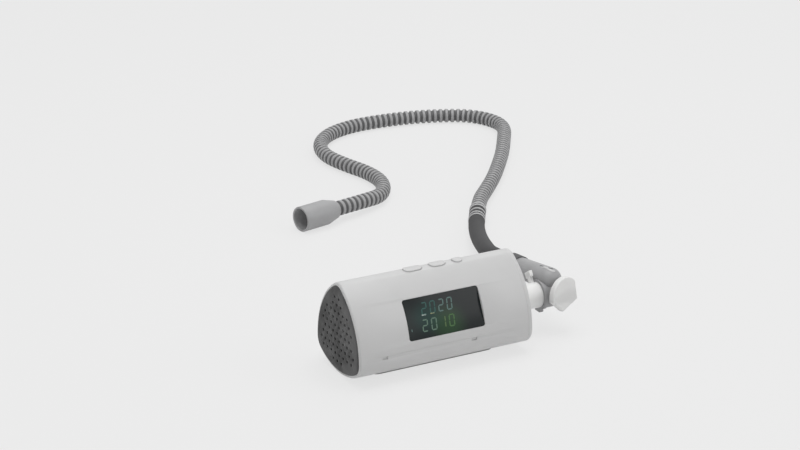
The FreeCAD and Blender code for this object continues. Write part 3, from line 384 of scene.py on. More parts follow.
@dataclass(frozen=True)
class CutFoam(Coating):
    """Open-cell polyurethane foam, cut from a block: soft, full of small dark cells.

    The cells are drawn a little coarser than real ones of about 1 mm, so that they show.
    """

    colour: str
    cell: str
    cell_mm: float = 1.4
    cell_depth: float = 0.5
    cell_relief_mm: float = 0.4
    roughness: float = 0.95
    sheen: float = 0.2

    def inputs(self, tree: Tree, place: Socket) -> dict:
        """Feed the shader the cells, for its colour and its bumps.

        Args:
            tree: The material's node tree.
            place: Where on the piece the shader is.

        Returns:
            The shader's input names with their values or sockets.
        """
        cells = add_node(tree, "ShaderNodeTexVoronoi", {
            "Vector": place, "Scale": 1 / (self.cell_mm * MM)})
        tone = add_node(tree, "ShaderNodeMix", {
            "Factor": cells.outputs["Distance"], MIX_FIRST: linear(self.cell),
            MIX_SECOND: linear(self.colour)}, data_type="RGBA")
        bump = add_node(tree, "ShaderNodeBump", {
            "Height": cells.outputs["Distance"], "Strength": self.cell_depth,
            "Distance": self.cell_relief_mm * MM})
        return {"Base Color": tone.outputs[MIX_RESULT], "Roughness": self.roughness,
                "Sheen Weight": self.sheen, "Normal": bump.outputs["Normal"]}


@dataclass(frozen=True)
class TurnedMetal(Coating):
    """Ground or punched metal, with marks of machining that break up the highlight.

    The marks are drawn coarser than real ones, which are too fine to show.
    """

    colour: str
    roughness: float = 0.32
    smoother: float = 0.08
    rougher: float = 0.1
    mark_mm: float = 0.4

    def inputs(self, tree: Tree, place: Socket) -> dict:
        """Feed the shader an uneven gloss.

        Args:
            tree: The material's node tree.
            place: Where on the piece the shader is.

        Returns:
            The shader's input names with their values or sockets.
        """
        marks = add_node(tree, "ShaderNodeTexNoise", {
            "Vector": place, "Scale": 1 / (self.mark_mm * MM), "Detail": 1.0})
        rough = add_node(tree, "ShaderNodeMapRange", {
            "Value": marks.outputs["Fac"], "To Min": self.roughness - self.smoother,
            "To Max": self.roughness + self.rougher})
        return {"Base Color": linear(self.colour), "Metallic": 1.0, "Roughness": rough.outputs["Result"]}


@dataclass(frozen=True)
class SolderMask(Coating):
    """Glass-fibre board under green lacquer: glossy, with darker tracks."""

    colour: str
    track: str
    track_mm: float = 2.2
    track_share: float = 0.03
    roughness: float = 0.28
    ior: float = 1.5

    def inputs(self, tree: Tree, place: Socket) -> dict:
        """Feed the shader the lacquer's colour with the tracks in it.

        Args:
            tree: The material's node tree.
            place: Where on the piece the shader is.

        Returns:
            The shader's input names with their values or sockets.
        """
        board = linear(self.colour)
        tracks = add_node(tree, "ShaderNodeTexBrick", {
            "Vector": place, "Color1": board, "Color2": board, "Mortar": linear(self.track),
            "Scale": 1 / (self.track_mm * MM), "Mortar Size": self.track_share})
        return {"Base Color": tracks.outputs["Color"], "Roughness": self.roughness, "IOR": self.ior}


@dataclass(frozen=True)
class DisplayGlass(Coating):
    """Black-backed acrylic over the display: smooth, with faint wipe marks and a painted glow of the lit
    rows on it.

    Each painted glow is a middle in metres, a reach in millimetres and a colour.
    """

    colour: str
    painted_glows: tuple[tuple[Point, float, str], ...]
    roughness: float = 0.16
    smoother: float = 0.04
    rougher: float = 0.1
    smear_mm: float = 18.0
    ior: float = 1.32

    def glow(self, tree: Tree, place: Socket) -> Socket:
        """Add up the painted glows.

        Args:
            tree: The material's node tree.
            place: Where on the piece the shader is.

        Returns:
            The colour of the glow painted on the glass.
        """
        total = None
        for middle, reach, colour in self.painted_glows:
            away = add_node(tree, "ShaderNodeVectorMath", {0: place, 1: middle}, operation="DISTANCE")
            near = add_node(tree, "ShaderNodeMapRange", {
                "Value": away.outputs["Value"], "From Min": reach * MM, "From Max": 0.0},
                interpolation_type="SMOOTHERSTEP")
            light = add_node(tree, "ShaderNodeVectorMath", {
                0: linear(colour)[:3], "Scale": near.outputs["Result"]},
                operation="SCALE").outputs["Vector"]
            if total is not None:
                light = add_node(tree, "ShaderNodeVectorMath", {
                    0: total, 1: light}, operation="ADD").outputs["Vector"]
            total = light
        return total

    def inputs(self, tree: Tree, place: Socket) -> dict:
        """Feed the shader a smeared gloss and the painted glows.

        Args:
            tree: The material's node tree.
            place: Where on the piece the shader is.

        Returns:
            The shader's input names with their values or sockets.
        """
        smear = add_node(tree, "ShaderNodeTexNoise", {
            "Vector": place, "Scale": 1 / (self.smear_mm * MM), "Detail": 5.0, "Roughness": 0.7})
        rough = add_node(tree, "ShaderNodeMapRange", {
            "Value": smear.outputs["Fac"], "To Min": self.roughness - self.smoother,
            "To Max": self.roughness + self.rougher})
        return {"Base Color": linear(self.colour), "Roughness": rough.outputs["Result"], "IOR": self.ior,
                "Emission Color": self.glow(tree, place), "Emission Strength": 1.0}


@dataclass(frozen=True)
class LitSegment(Coating):
    """Lit segment behind the glass: it glows, a little unevenly, between its weak and strong shares."""

    colour: str
    strength: float
    weak: float = 0.8
    strong: float = 1.1
    flicker_mm: float = 1.5
    unlit: str = "#101414"
    roughness: float = 0.4
    ior: float = 1.38

    def inputs(self, tree: Tree, place: Socket) -> dict:
        """Feed the shader the glow.

        Args:
            tree: The material's node tree.
            place: Where on the piece the shader is.

        Returns:
            The shader's input names with their values or sockets.
        """
        flicker = add_node(tree, "ShaderNodeTexNoise", {
            "Vector": place, "Scale": 1 / (self.flicker_mm * MM), "Detail": 1.0})
        glow = add_node(tree, "ShaderNodeMapRange", {
            "Value": flicker.outputs["Fac"], "To Min": self.weak * self.strength,
            "To Max": self.strong * self.strength})
        return {"Base Color": linear(self.unlit), "Roughness": self.roughness, "IOR": self.ior,
                "Emission Color": linear(self.colour), "Emission Strength": glow.outputs["Result"]}


class Finish(Enum):
    """The finishes of the machine's pieces."""

    SHELL = MouldedPlastic("shell_abs", "#C8C8C8", "#C1C1C1")
    CAP_WHITE = MouldedPlastic("white_knob_abs", "#E4E4E3", "#DDDDDC", roughness=0.38, cloud_mm=12.0)
    # a little darker than the shell: painted shade that evens out the extra light on the raised keys
    KEY_WHITE = MouldedPlastic("key_abs", "#C6C6C6", "#C0C0C0", roughness=0.46, cloud_mm=8.0)
    PORT_WHITE = MouldedPlastic("white_port_abs", "#EFEFEE", "#E7E7E6", roughness=0.4, cloud_mm=14.0)
    # pale colour is a painted highlight along the elbow's shoulder
    VENT_BAR_HIGHLIGHT = MouldedPlastic("vent_bar_highlight_abs", "#C6C6C6", "#BDBDBD", roughness=0.5, cloud_mm=8.0)
    VENT_DARK = MouldedPlastic("vented_cap_abs", "#4F4F4F", "#272727", roughness=0.6, cloud_mm=19.0,
                               cloud_spread=0.13, grain_mm=0.9)
    ELBOW = MouldedPlastic("elbow_grey_abs", "#A3A3A4", "#979798", roughness=0.46, cloud_mm=12.0)
    INNER = MouldedPlastic("inner_abs", "#BDBDBB", "#B0B0AE", roughness=0.5)
    BLOWER = MouldedPlastic("blower_nylon", "#38393B", "#2C2D2F", roughness=0.5)
    IMPELLER = MouldedPlastic("impeller_polycarbonate", "#D4D4D0", "#C9C9C5", roughness=0.35)
    CHIP = MouldedPlastic("chip_epoxy", "#232425", "#1B1C1D", roughness=0.55)
    PANEL = MouldedPlastic("display_module", "#122624", "#0D1C1A", roughness=0.25)
    SLEEVE = CastRubber("sleeve_rubber", "#3A3A3B", "#434344", roughness=0.7, ior=1.36)
    CUFF = CastRubber("cuff_rubber", "#4A4A4B", "#545455", ior=1.42)
    RING = CastRubber("ring_rubber", "#98989A", "#A0A0A1", roughness=0.5)
    # pale grey that paints the highlights on the collar's rings and on the sleeve's bands
    COLLAR = CastRubber("collar_pvc", "#A6A6A7", "#B0B0B1", roughness=0.45)
    # ridge colour is a painted highlight, valley colour is painted shade
    HOSE = RibbedVinyl("hose_pvc", "#A0A0A1", "#505051")
    FOOT = CastRubber("foot_rubber", "#A0A09F", "#A9A9A8", roughness=0.75)
    SILICONE = CastRubber("clear_silicone", "#D8D8D4", "#CFCFCB", roughness=0.45)
    FILTER = CutFoam("filter_foam", "#D9D9D5", "#9B9B97")
    QUIET_FOAM = CutFoam("silencer_foam", "#4A4A4C", "#1E1E20")
    STEEL = TurnedMetal("laminated_steel", "#A9A9AB")
    BEARING = TurnedMetal("bearing_steel", "#C8C8CA", roughness=0.22)
    BRASS = TurnedMetal("plated_brass", "#D8B25C", roughness=0.25)
    BOARD = SolderMask("solder_mask", "#1C6B3C", "#14502C")
    # the glass's emission is a painted glow round the lit rows
    GLASS = DisplayGlass("display_acrylic", "#1A1F20", (
        ((-0.016, -0.0330, 0.0527), 22.0, "#172E2A"), ((0.003, -0.0372, 0.0440), 25.0, "#173415"),
        ((-0.036, -0.0330, 0.0510), 24.0, "#222524")))
    TEAL_DIM = LitSegment("dim_teal_segment", "#285650", 0.8)
    TEAL = LitSegment("teal_segment", "#566F6B", 0.9)
    MINT = LitSegment("mint_segment", "#577061", 0.9)
    LIME = LitSegment("lime_segment", "#4C6339", 0.9)
    GREEN = LitSegment("green_segment", "#3F6535", 0.9)
    BRIGHT = LitSegment("bright_segment", "#B9C4BE", 0.9)
    AMBER = LitSegment("amber_segment", "#A8A67C", 0.9)


class Palette:
    """Builds each finish once and hands it out."""

    def __init__(self) -> None:
        """Start with no material made."""
        self._made: dict[Finish, bpy.types.Material] = {}

    def __getitem__(self, finish: Finish) -> bpy.types.Material:
        """Hand out a finish's material, which is made when it is first asked for.

        Args:
            finish: The finish.

        Returns:
            Its material.
        """
        if finish not in self._made:
            self._made[finish] = finish.value.build()
        return self._made[finish]


# ---------------------------------------------------------------- refined copies of the solids
@dataclass(frozen=True)
class RefinedSolid:
    """A solid's mesh with joined corners, soft edges and smooth shading. Angles are in degrees."""

    node: str
    body: str
    finish: Finish
    slot: str
    edge_mm: float
    edge_rings: int = 2
    edge_angle: float = 38.0
    smooth_angle: float = 40.0
    weld_mm: float = 0.002
    sliver_mm: float = 0.004
    flat_angle: float = 0.4

    def build(self, frame: dict, palette: Palette) -> bpy.types.Object:
        """Make the piece that stands for the node.

        Args:
            frame: The loaded model.
            palette: The finishes.

        Returns:
            The new piece, riding on its body.
        """
        mesh = frame["nodes"][self.node].data.copy()
        shape = bmesh.new()
        shape.from_mesh(mesh)
        bmesh.ops.remove_doubles(shape, verts=shape.verts, dist=self.weld_mm * MM)
        bmesh.ops.dissolve_degenerate(shape, edges=shape.edges, dist=self.sliver_mm * MM)
        bmesh.ops.dissolve_limit(shape, angle_limit=math.radians(self.flat_angle), verts=shape.verts,
                                 edges=shape.edges)
        shape.to_mesh(mesh)
        shape.free()
        piece = object_from(self.node + "_skin", mesh, palette[self.finish])
        bevel = piece.modifiers.new("soft_edges", "BEVEL")
        bevel.width = self.edge_mm * MM
        bevel.segments = self.edge_rings
        bevel.limit_method = "ANGLE"
        bevel.angle_limit = math.radians(self.edge_angle)
        bevel.miter_outer = "MITER_ARC"
        bake_modifiers(piece)
        shade_smooth(piece.data, self.smooth_angle)
        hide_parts(self.node)
        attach(piece, self.body)
        return piece


@dataclass(frozen=True)
class KeyDome:
    """Silicone dome between a key's stem and its board.

    seat_z is the height of the board's upper face, and keep the share of the dome's height that is left;
    neither is used.
    """

    key: str
    edge_mm: float = 0.1
    seat_z: float = 0.0749
    keep: float = 0.686

    def build(self, frame: dict, palette: Palette) -> bpy.types.Object:
        """Make the dome.

        Args:
            frame: The loaded model.
            palette: The finishes.

        Returns:
            The new piece.
        """
        dome = RefinedSolid(self.key + "_dome", "root", Finish.SILICONE, "silicone", self.edge_mm)
        piece = dome.build(frame, palette)
        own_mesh(piece)
        return piece


# ---------------------------------------------------------------- display
@dataclass(frozen=True)
class DigitRow:
    """One row of lit figures, in millimetres from the lens's centre."""

    signs: str
    middles: tuple[float, ...]
    foot: float
    high: float
    wide: float
    stroke: float
    finishes: tuple[Finish, ...]


@dataclass(frozen=True)
class LitMark:
    """One short lit bar: its middle and its size, in millimetres from the lens's centre."""

    x: float
    y: float
    wide: float
    high: float
    finish: Finish


@dataclass(frozen=True)
class Display:
    """Lit digits on the black lens of the front face.

    centre is the lens's middle in millimetres, up its own upward direction, and lean the digits' slant as
    a slope.
    """

    centre: Point = (0.0, -33.0, 52.7)
    up: Point = (0.0, 0.4383, 0.8988)
    proud_mm: float = 0.03
    thick_mm: float = 0.05
    lean: float = 0.1
    tip_gap_mm: float = 0.15
    rows: tuple[DigitRow, ...] = (
        DigitRow("2020", (-17.8, -9.4, -1.0, 7.4), 2.6, 10.0, 4.4, 1.1,
                 (Finish.TEAL_DIM, Finish.TEAL_DIM, Finish.TEAL, Finish.TEAL)),
        DigitRow("2010", (-19.8, -11.0, -2.2, 6.6), -12.0, 9.8, 4.6, 1.1,
                 (Finish.MINT, Finish.MINT, Finish.LIME, Finish.GREEN)))
    marks: tuple[LitMark, ...] = (
        LitMark(-19.0, 2.2, 4.0, 0.9, Finish.BRIGHT), LitMark(-10.6, 2.2, 3.8, 0.8, Finish.AMBER),
        LitMark(-33.3, -9.1, 0.7, 2.2, Finish.TEAL))

    SEGMENTS: ClassVar[dict[str, str]] = {"0": "abcdef", "1": "bc", "2": "abged"}

    def bar(self, shape: bmesh.types.BMesh, corners: Sequence[tuple[float, float]]) -> None:
        """Add one flat lit shape.

        Args:
            shape: The mesh being made.
            corners: Its outline on the lens, in millimetres, anticlockwise.
        """
        across, up = Vector((1, 0, 0)), Vector(self.up)
        out = across.cross(up)
        centre = Vector([value * MM for value in self.centre])
        spots = [centre + across * x * MM + up * y * MM + out * self.proud_mm * MM for x, y in corners]
        low = [shape.verts.new(spot) for spot in spots]
        high = [shape.verts.new(spot + out * self.thick_mm * MM) for spot in spots]
        shape.faces.new(high)
        shape.faces.new(low[::-1])
        for k in range(len(corners)):
            n = (k + 1) % len(corners)
            shape.faces.new((low[k], low[n], high[n], high[k]))

    def digit(self, shape: bmesh.types.BMesh, sign: str, left: float, row: DigitRow) -> None:
        """Add one seven-segment digit.

        Args:
            shape: The mesh being made.
            sign: One of the figures in SEGMENTS.
            left: Left edge of its foot on the lens, in millimetres.
            row: The row that it stands in.
        """
        high, wide, s = row.high, row.wide, row.stroke / 2
        spots = {"a": ((0, high), (wide, high)), "b": ((wide, high), (wide, high / 2)),
                 "c": ((wide, high / 2), (wide, 0)), "d": ((0, 0), (wide, 0)),
                 "e": ((0, high / 2), (0, 0)), "f": ((0, high), (0, high / 2)),
                 "g": ((0, high / 2), (wide, high / 2))}
        for name in self.SEGMENTS[sign]:
            start, end = (Vector(spot) for spot in spots[name])
            along = (end - start).normalized()
            side = Vector((-along.y, along.x)) * s
            a = start + along * (s + self.tip_gap_mm)
            b = end - along * (s + self.tip_gap_mm)
            outline = [a - along * s, a - side, b - side, b + along * s, b + side, a + side]
            self.bar(shape, [(left + p.x + self.lean * p.y, row.foot + p.y) for p in outline])

    def build(self, palette: Palette) -> list[bpy.types.Object]:
        """Make the lit pieces, one for each finish.

        Args:
            palette: The finishes.

        Returns:
            The new pieces.
        """
        shapes: dict[Finish, bmesh.types.BMesh] = defaultdict(bmesh.new)
        for row in self.rows:
            for sign, middle, finish in zip(row.signs, row.middles, row.finishes):
                left = middle - row.wide / 2 - self.lean * row.high / 2
                self.digit(shapes[finish], sign, left, row)
        for mark in self.marks:
            x, y, w, h = mark.x, mark.y, mark.wide / 2, mark.high / 2
            self.bar(shapes[mark.finish],
                     [(x - w, y - h), (x + w, y - h), (x + w, y + h), (x - w, y + h)])
        pieces = []
        for finish, shape in shapes.items():
            piece = drawn_piece("display_" + finish.name.lower(), shape, palette[finish])
            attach(piece, "root")
            pieces.append(piece)
        return pieces


# ---------------------------------------------------------------- hose
@dataclass(frozen=True)
class HoseRun:
    """The smooth sleeve and the ribbed hose, along one route on the floor.

    crest_between is the part of each rib's wave, from -1 to 1, over which its wall climbs.
    """

    outer_mm: float = 15.6
    sleeve_mm: float = 16.6
    bands_mm: tuple[float, ...] = (13.0, 21.0, 29.0)
    band_wide_mm: float = 3.2
    band_proud_mm: float = 0.35
    band_sunk_mm: float = 0.3
    band_corner_mm: float = 0.3
    band_sharp_angle: float = 50.0
    groove_mm: float = 1.7
    pitch_mm: float = 6.8
    crest_between: tuple[float, float] = (-0.8, 0.35)
    rings_per_pitch: float = 12.0
    around: int = 32
    line_order: int = 3
    line_steps: int = 24
    sleeve_route: tuple[Point, ...] = (
        (0.1280, 0.06557, 0.04001), (0.1280, 0.08941, 0.03727), (0.1325, 0.115, 0.032),
        (0.1425, 0.140, 0.0268), (0.1545, 0.168, 0.0205), (0.1705, 0.203, 0.0135),
        (0.1895, 0.240, 0.0089), (0.2105, 0.273, 0.0089))
    hose_route: tuple[Point, ...] = (
        (0.2105, 0.273, 0.0089), (0.2273, 0.2994, 0.0089), (0.2505, 0.325, 0.008),
        (0.2775, 0.3555, 0.008), (0.3025, 0.388, 0.008), (0.3275, 0.422, 0.008),
        (0.3505, 0.458, 0.008), (0.374, 0.496, 0.008), (0.3737, 0.5265, 0.008),
        (0.3578, 0.5525, 0.008), (0.3305, 0.5666, 0.008), (0.2985, 0.577, 0.008),
        (0.2595, 0.582, 0.008), (0.2195, 0.581, 0.008), (0.1845, 0.567, 0.008),
        (0.1595, 0.540, 0.008), (0.1495, 0.504, 0.008), (0.1555, 0.467, 0.008),
        (0.1665, 0.431, 0.008), (0.1655, 0.394, 0.008), (0.1465, 0.362, 0.008),
        (0.1145, 0.344, 0.01315), (0.0785, 0.336, 0.01315))

    def spline(self, name: str, route: Sequence[Point]) -> bpy.types.Object:
        """Make a smooth curve with the route's points as its control points.

        Args:
            name: The curve object's name.
            route: Its control points.

        Returns:
            A curve object with no thickness.
        """
        curve = bpy.data.curves.new(name, "CURVE")
        curve.dimensions = "3D"
        curve.resolution_u = self.line_steps
        line = curve.splines.new("NURBS")
        line.points.add(len(route) - 1)
        for point, spot in zip(line.points, route):
            point.co = (*spot, 1.0)
        line.order_u = self.line_order
        line.use_endpoint_u = True
        piece = bpy.data.objects.new(name, curve)
        bpy.context.scene.collection.objects.link(piece)
        return piece

    @staticmethod
    def centreline(curve: bpy.types.Object) -> list[Vector]:
        """Follow a curve object's own line.

        Args:
            curve: The curve object.

        Returns:
            The points along it.
        """
        mesh = plain_mesh(curve)
        points = [v.co.copy() for v in mesh.vertices]
        bpy.data.meshes.remove(mesh)
        return points

    def tube_tree(self, material: bpy.types.Material, ribbed: bool) -> Tree:
        """Build the node tree that turns a line into a tube, plain or ribbed.

        Args:
            material: The tube's finish.
            ribbed: Whether its radius swings with the pitch.

        Returns:
            The tree, with inputs for radius, groove depth, pitch and facets.
        """
        tree = bpy.data.node_groups.new("ribbed_tube" if ribbed else "plain_tube", "GeometryNodeTree")
        face = tree.interface
        face.new_socket("Geometry", in_out="INPUT", socket_type="NodeSocketGeometry")
        for label in ("Radius", "Groove", "Pitch"):
            face.new_socket(label, in_out="INPUT", socket_type="NodeSocketFloat")
        face.new_socket("Facets", in_out="INPUT", socket_type="NodeSocketInt")
        face.new_socket("Geometry", in_out="OUTPUT", socket_type="NodeSocketGeometry")
        ins = add_node(tree, "NodeGroupInput").outputs
        step = add_node(tree, "ShaderNodeMath", {
            0: ins["Pitch"], 1: self.rings_per_pitch}, operation="DIVIDE")
        fine = add_node(tree, "GeometryNodeResampleCurve", {
            "Curve": ins["Geometry"], "Length": step.outputs[0]}, mode="LENGTH")
        along = add_node(tree, "GeometryNodeSplineParameter").outputs["Length"]
        turns = add_node(tree, "ShaderNodeMath", {0: along, 1: ins["Pitch"]}, operation="DIVIDE")
        angle = add_node(tree, "ShaderNodeMath", {
            0: turns.outputs[0], 1: 2 * math.pi}, operation="MULTIPLY")
        wave = add_node(tree, "ShaderNodeMath", {0: angle.outputs[0]}, operation="COSINE")
        crest = add_node(tree, "ShaderNodeMapRange", {
            "Value": wave.outputs[0], "From Min": self.crest_between[0],
            "From Max": self.crest_between[1]}, interpolation_type="SMOOTHSTEP").outputs["Result"]
        radius = ins["Radius"]
        if ribbed:
            valley = add_node(tree, "ShaderNodeMath", {0: radius, 1: ins["Groove"]}, operation="SUBTRACT")
            ridge = add_node(tree, "ShaderNodeMath", {0: crest, 1: ins["Groove"]}, operation="MULTIPLY")
            radius = add_node(tree, "ShaderNodeMath", {
                0: valley.outputs[0], 1: ridge.outputs[0]}, operation="ADD").outputs[0]
        marked = add_node(tree, "GeometryNodeStoreNamedAttribute", {
            "Geometry": fine.outputs["Curve"], "Name": RIB, "Value": crest},
            data_type="FLOAT", domain="POINT")
        ring = add_node(tree, "GeometryNodeCurvePrimitiveCircle", {
            "Resolution": ins["Facets"], "Radius": 1.0}, mode="RADIUS")
        skin = add_node(tree, "GeometryNodeCurveToMesh", {
            "Curve": marked.outputs["Geometry"], "Profile Curve": ring.outputs["Curve"],
            "Scale": radius, "Fill Caps": True})
        smooth = add_node(tree, "GeometryNodeSetShadeSmooth", {"Geometry": skin.outputs["Mesh"]})
        real = add_node(tree, "GeometryNodeRealizeInstances", {"Geometry": smooth.outputs["Geometry"]})
        dressed = add_node(tree, "GeometryNodeSetMaterial", {
            "Geometry": real.outputs["Geometry"], "Material": material})
        add_node(tree, "NodeGroupOutput", {"Geometry": dressed.outputs["Geometry"]})
        return tree

    def tube(self, name: str, route: Sequence[Point], material: bpy.types.Material, ribbed: bool,
             wide_mm: float) -> tuple[bpy.types.Object, list[Vector]]:
        """Make a tube along a route.

        Args:
            name: The piece's name.
            route: Control points of its line.
            material: Its finish.
            ribbed: Whether it is ribbed.
            wide_mm: Its outer diameter.

        Returns:
            The mesh piece and the points of its centreline.
        """
        curve = self.spline(name + "_line", route)
        path = self.centreline(curve)
        tree = self.tube_tree(material, ribbed)
        ids = {item.name: item.identifier for item in tree.interface.items_tree
               if item.item_type == "SOCKET" and item.in_out == "INPUT"}
        modifier = curve.modifiers.new("tube", "NODES")
        modifier.node_group = tree
        for label, value in (("Radius", wide_mm / 2 * MM), ("Groove", self.groove_mm * MM),
                             ("Pitch", self.pitch_mm * MM), ("Facets", self.around)):
            modifier[ids[label]] = value
        mesh = plain_mesh(curve)
        mesh.name = name
        bpy.data.objects.remove(curve)
        return object_from(name, mesh), path

    def bands(self, path: list[Vector], material: bpy.types.Material) -> bpy.types.Object:
        """Make the raised bands round the sleeve, near the end where the hose starts, coloured pale as
        painted highlights.

        Args:
            path: The sleeve's centreline.
            material: Their finish.

        Returns:
            One piece with all the bands.
        """
        shape = bmesh.new()
        half, soft = self.band_wide_mm / 2 * MM, self.band_corner_mm * MM
        inner = (self.sleeve_mm / 2 - self.band_sunk_mm) * MM
        outer = (self.sleeve_mm / 2 + self.band_proud_mm) * MM
        section = ((-half, inner), (-half, outer - soft), (-half + soft, outer), (half - soft, outer),
                   (half, outer - soft), (half, inner))
        steps = [0.0]
        for a, b in zip(path[::-1], path[-2::-1]):
            steps.append(steps[-1] + (b - a).length)
        for place in self.bands_mm:
            back = next(n for n, step in enumerate(steps) if step >= place * MM)
            middle = path[-1 - back]
            along = (path[-back] - path[-2 - back]).normalized()
            side = along.cross(Vector((0, 0, 1))).normalized()
            up = side.cross(along)
            rings = []
            for turn in range(self.around):
                angle = 2 * math.pi * turn / self.around
                out = side * math.cos(angle) + up * math.sin(angle)
                rings.append([shape.verts.new(middle + along * x + out * r) for x, r in section])
            for ring, after in zip(rings, rings[1:] + rings[:1]):
                for i in range(len(section)):
                    j = (i + 1) % len(section)
                    shape.faces.new((ring[i], ring[j], after[j], after[i]))
        piece = drawn_piece("sleeve_bands", shape, material)
        shade_smooth(piece.data, self.band_sharp_angle)
        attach(piece, "root")
        return piece

    @staticmethod
    def declare(piece: bpy.types.Object, path: list[Vector], exit_point: Point, wide_mm: float,
                parts: list) -> None:
        """Log a free stretch's measured length.

        Args:
            piece: The sleeve or the hose.
            path: Its centreline.
            exit_point: Where it leaves what holds it; not used.
            wide_mm: Its outer diameter; not used.
            parts: The pieces at its ends; not used.
        """
        length = sum((b - a).length for a, b in zip(path, path[1:]))
        LOG.info("%s is %.3f m long", piece.name, length)

    def build(self, palette: Palette) -> list[bpy.types.Object]:
        """Make the sleeve and the hose.

        Args:
            palette: The finishes.

        Returns:
            The sleeve, the hose and the sleeve's bands.
        """
        sleeve, sleeve_path = self.tube(
            "smooth_sleeve", self.sleeve_route, palette[Finish.SLEEVE], False, self.sleeve_mm)
        hose, hose_path = self.tube(
            "ribbed_hose", self.hose_route, palette[Finish.HOSE], True, self.outer_mm)
        bands = self.bands(sleeve_path, palette[Finish.COLLAR])
        for piece, node, slot in ((sleeve, "hose_sleeve", "sleeve_rubber"), (hose, "hose", "hose_grey")):
            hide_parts(node)
        self.sleeve_route[1]
        self.sleeve_route[5]
        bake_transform(sleeve)
        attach(hose, "root")
        self.declare(sleeve, sleeve_path, self.sleeve_route[0], self.sleeve_mm,
                     ["machine_cuff_skin", bands])
        self.declare(hose, hose_path, self.hose_route[0], self.outer_mm,
                     ["sleeve_collar_skin", "hose_connector_skin"])
        return [sleeve, hose, bands]


# ---------------------------------------------------------------- elbow's vent
@dataclass(frozen=True)
class SurfaceStrip:
    """A narrow strip that lies on a curved wall, under a line given from above in millimetres.

    It starts at tip_share of its width and gains tip_gain at each step; crown_drop is how much lower its
    sides are than its middle.
    """

    name: str
    line: tuple[tuple[float, float], ...]
    wide: float
    proud: float
    finish: Finish
    slot: str
    across: int = 6
    steps: int = 18
    tip_share: float = 0.35
    tip_gain: float = 0.3
    crown_drop: float = 0.35
    sunk: float = 0.3
    ray_height: float = 1.0
    sharp_angle: float = 45.0

    def samples(self) -> list[tuple[Vector, Vector]]:
        """Walk along the line on a smooth cubic through its points.

        Returns:
            Points in millimetres, each with the level direction across the line there.
        """
        spots = [Vector((x, y, 0.0)) for x, y in self.line]
        ends = [spots[0] * 2 - spots[1]] + spots + [spots[-1] * 2 - spots[-2]]
        found = []
        for n in range(self.steps + 1):
            t = n / self.steps * (len(spots) - 1)
            k = min(int(t), len(spots) - 2)
            f, (a, b, c, d) = t - k, ends[k:k + 4]
            once, twice, thrice = c - a, 2 * a - 5 * b + 4 * c - d, 3 * b - a - 3 * c + d
            point = 0.5 * (2 * b + once * f + twice * f ** 2 + thrice * f ** 3)
            slope = 0.5 * (once + 2 * twice * f + 3 * thrice * f ** 2)
            found.append((point, Vector((-slope.y, slope.x, 0.0)).normalized()))
        return found

    def build(self, wall: BVHTree, palette: Palette) -> bpy.types.Object:
        """Lay the strip on the wall.

        Args:
            wall: The faces of the piece that carries it.
            palette: The finishes.

        Returns:
            The strip, closed below the wall's surface.
        """
        shape = bmesh.new()
        tops, feet = [], []
        line = self.samples()
        last, wide = len(line) - 1, self.across
        for n, (point, side) in enumerate(line):
            narrow = min(1.0, self.tip_share + self.tip_gain * min(n, last - n))
            high, low = [], []
            for k in range(wide + 1):
                share = 2 * k / wide - 1
                spot = (point + side * share * narrow * self.wide / 2) * MM
                above = Vector((spot.x, spot.y, self.ray_height))
                hit, normal, _, _ = wall.ray_cast(above, Vector((0, 0, -1)))
                crown = self.proud * MM * (1 - self.crown_drop * share * share)
                high.append(shape.verts.new(hit + normal * crown))
                low.append(shape.verts.new(hit - normal * self.sunk * MM))
            tops.append(high)
            feet.append(low)
        for n in range(last):
            for k in range(wide):
                shape.faces.new((tops[n][k], tops[n][k + 1], tops[n + 1][k + 1], tops[n + 1][k]))
                shape.faces.new((feet[n][k], feet[n + 1][k], feet[n + 1][k + 1], feet[n][k + 1]))
            for k in (0, wide):
                shape.faces.new((tops[n][k], tops[n + 1][k], feet[n + 1][k], feet[n][k]))
        for n in (0, last):
            for k in range(wide):
                shape.faces.new((tops[n][k], tops[n][k + 1], feet[n][k + 1], feet[n][k]))
        piece = drawn_piece(self.name, shape, palette[self.finish])
        shade_smooth(piece.data, self.sharp_angle)
        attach(piece, "elbow")
        return piece


@dataclass(frozen=True)
class ElbowVent:
    """Raised bar on the elbow's shoulder, pale as a painted highlight, with painted shade for a slit on
    each side.
    """

    host: str = "elbow_body"
    strips: tuple[SurfaceStrip, ...] = (
        # raised bar; its pale colour is a painted highlight
        SurfaceStrip("vent_bar_highlight", ((124.9, 9.0), (125.8, 4.5), (125.9, -0.5), (127.4, -4.2), (130.6, -5.4)),
                     2.2, 0.4, Finish.VENT_BAR_HIGHLIGHT, "port_white"),
        # flat dark strips of painted shade that stand for the slits
        SurfaceStrip("vent_slit_back_shade", ((126.3, 14.0), (126.5, 11.5), (126.8, 8.6)),
                     1.5, 0.12, Finish.CUFF, "sleeve_rubber"),
        SurfaceStrip("vent_slit_front_shade", ((127.2, 1.6), (128.2, -0.6), (130.6, -2.4)),
                     1.5, 0.12, Finish.CUFF, "sleeve_rubber"))

    def build(self, frame: dict, palette: Palette) -> list[bpy.types.Object]:
        """Lay the strips on the elbow.

        Args:
            frame: The loaded model.
            palette: The finishes.

        Returns:
            The new pieces.
        """
        mesh = frame["nodes"][self.host].data
        wall = BVHTree.FromPolygons([v.co.copy() for v in mesh.vertices],
                                    [p.vertices[:] for p in mesh.polygons])
        return [strip.build(wall, palette) for strip in self.strips]


# ---------------------------------------------------------------- studio
@dataclass(frozen=True)
class SoftLamp:
    """A square lamp: its place and width in metres, and its power in watts."""

    name: str
    place: Point
    size: float
    power: float


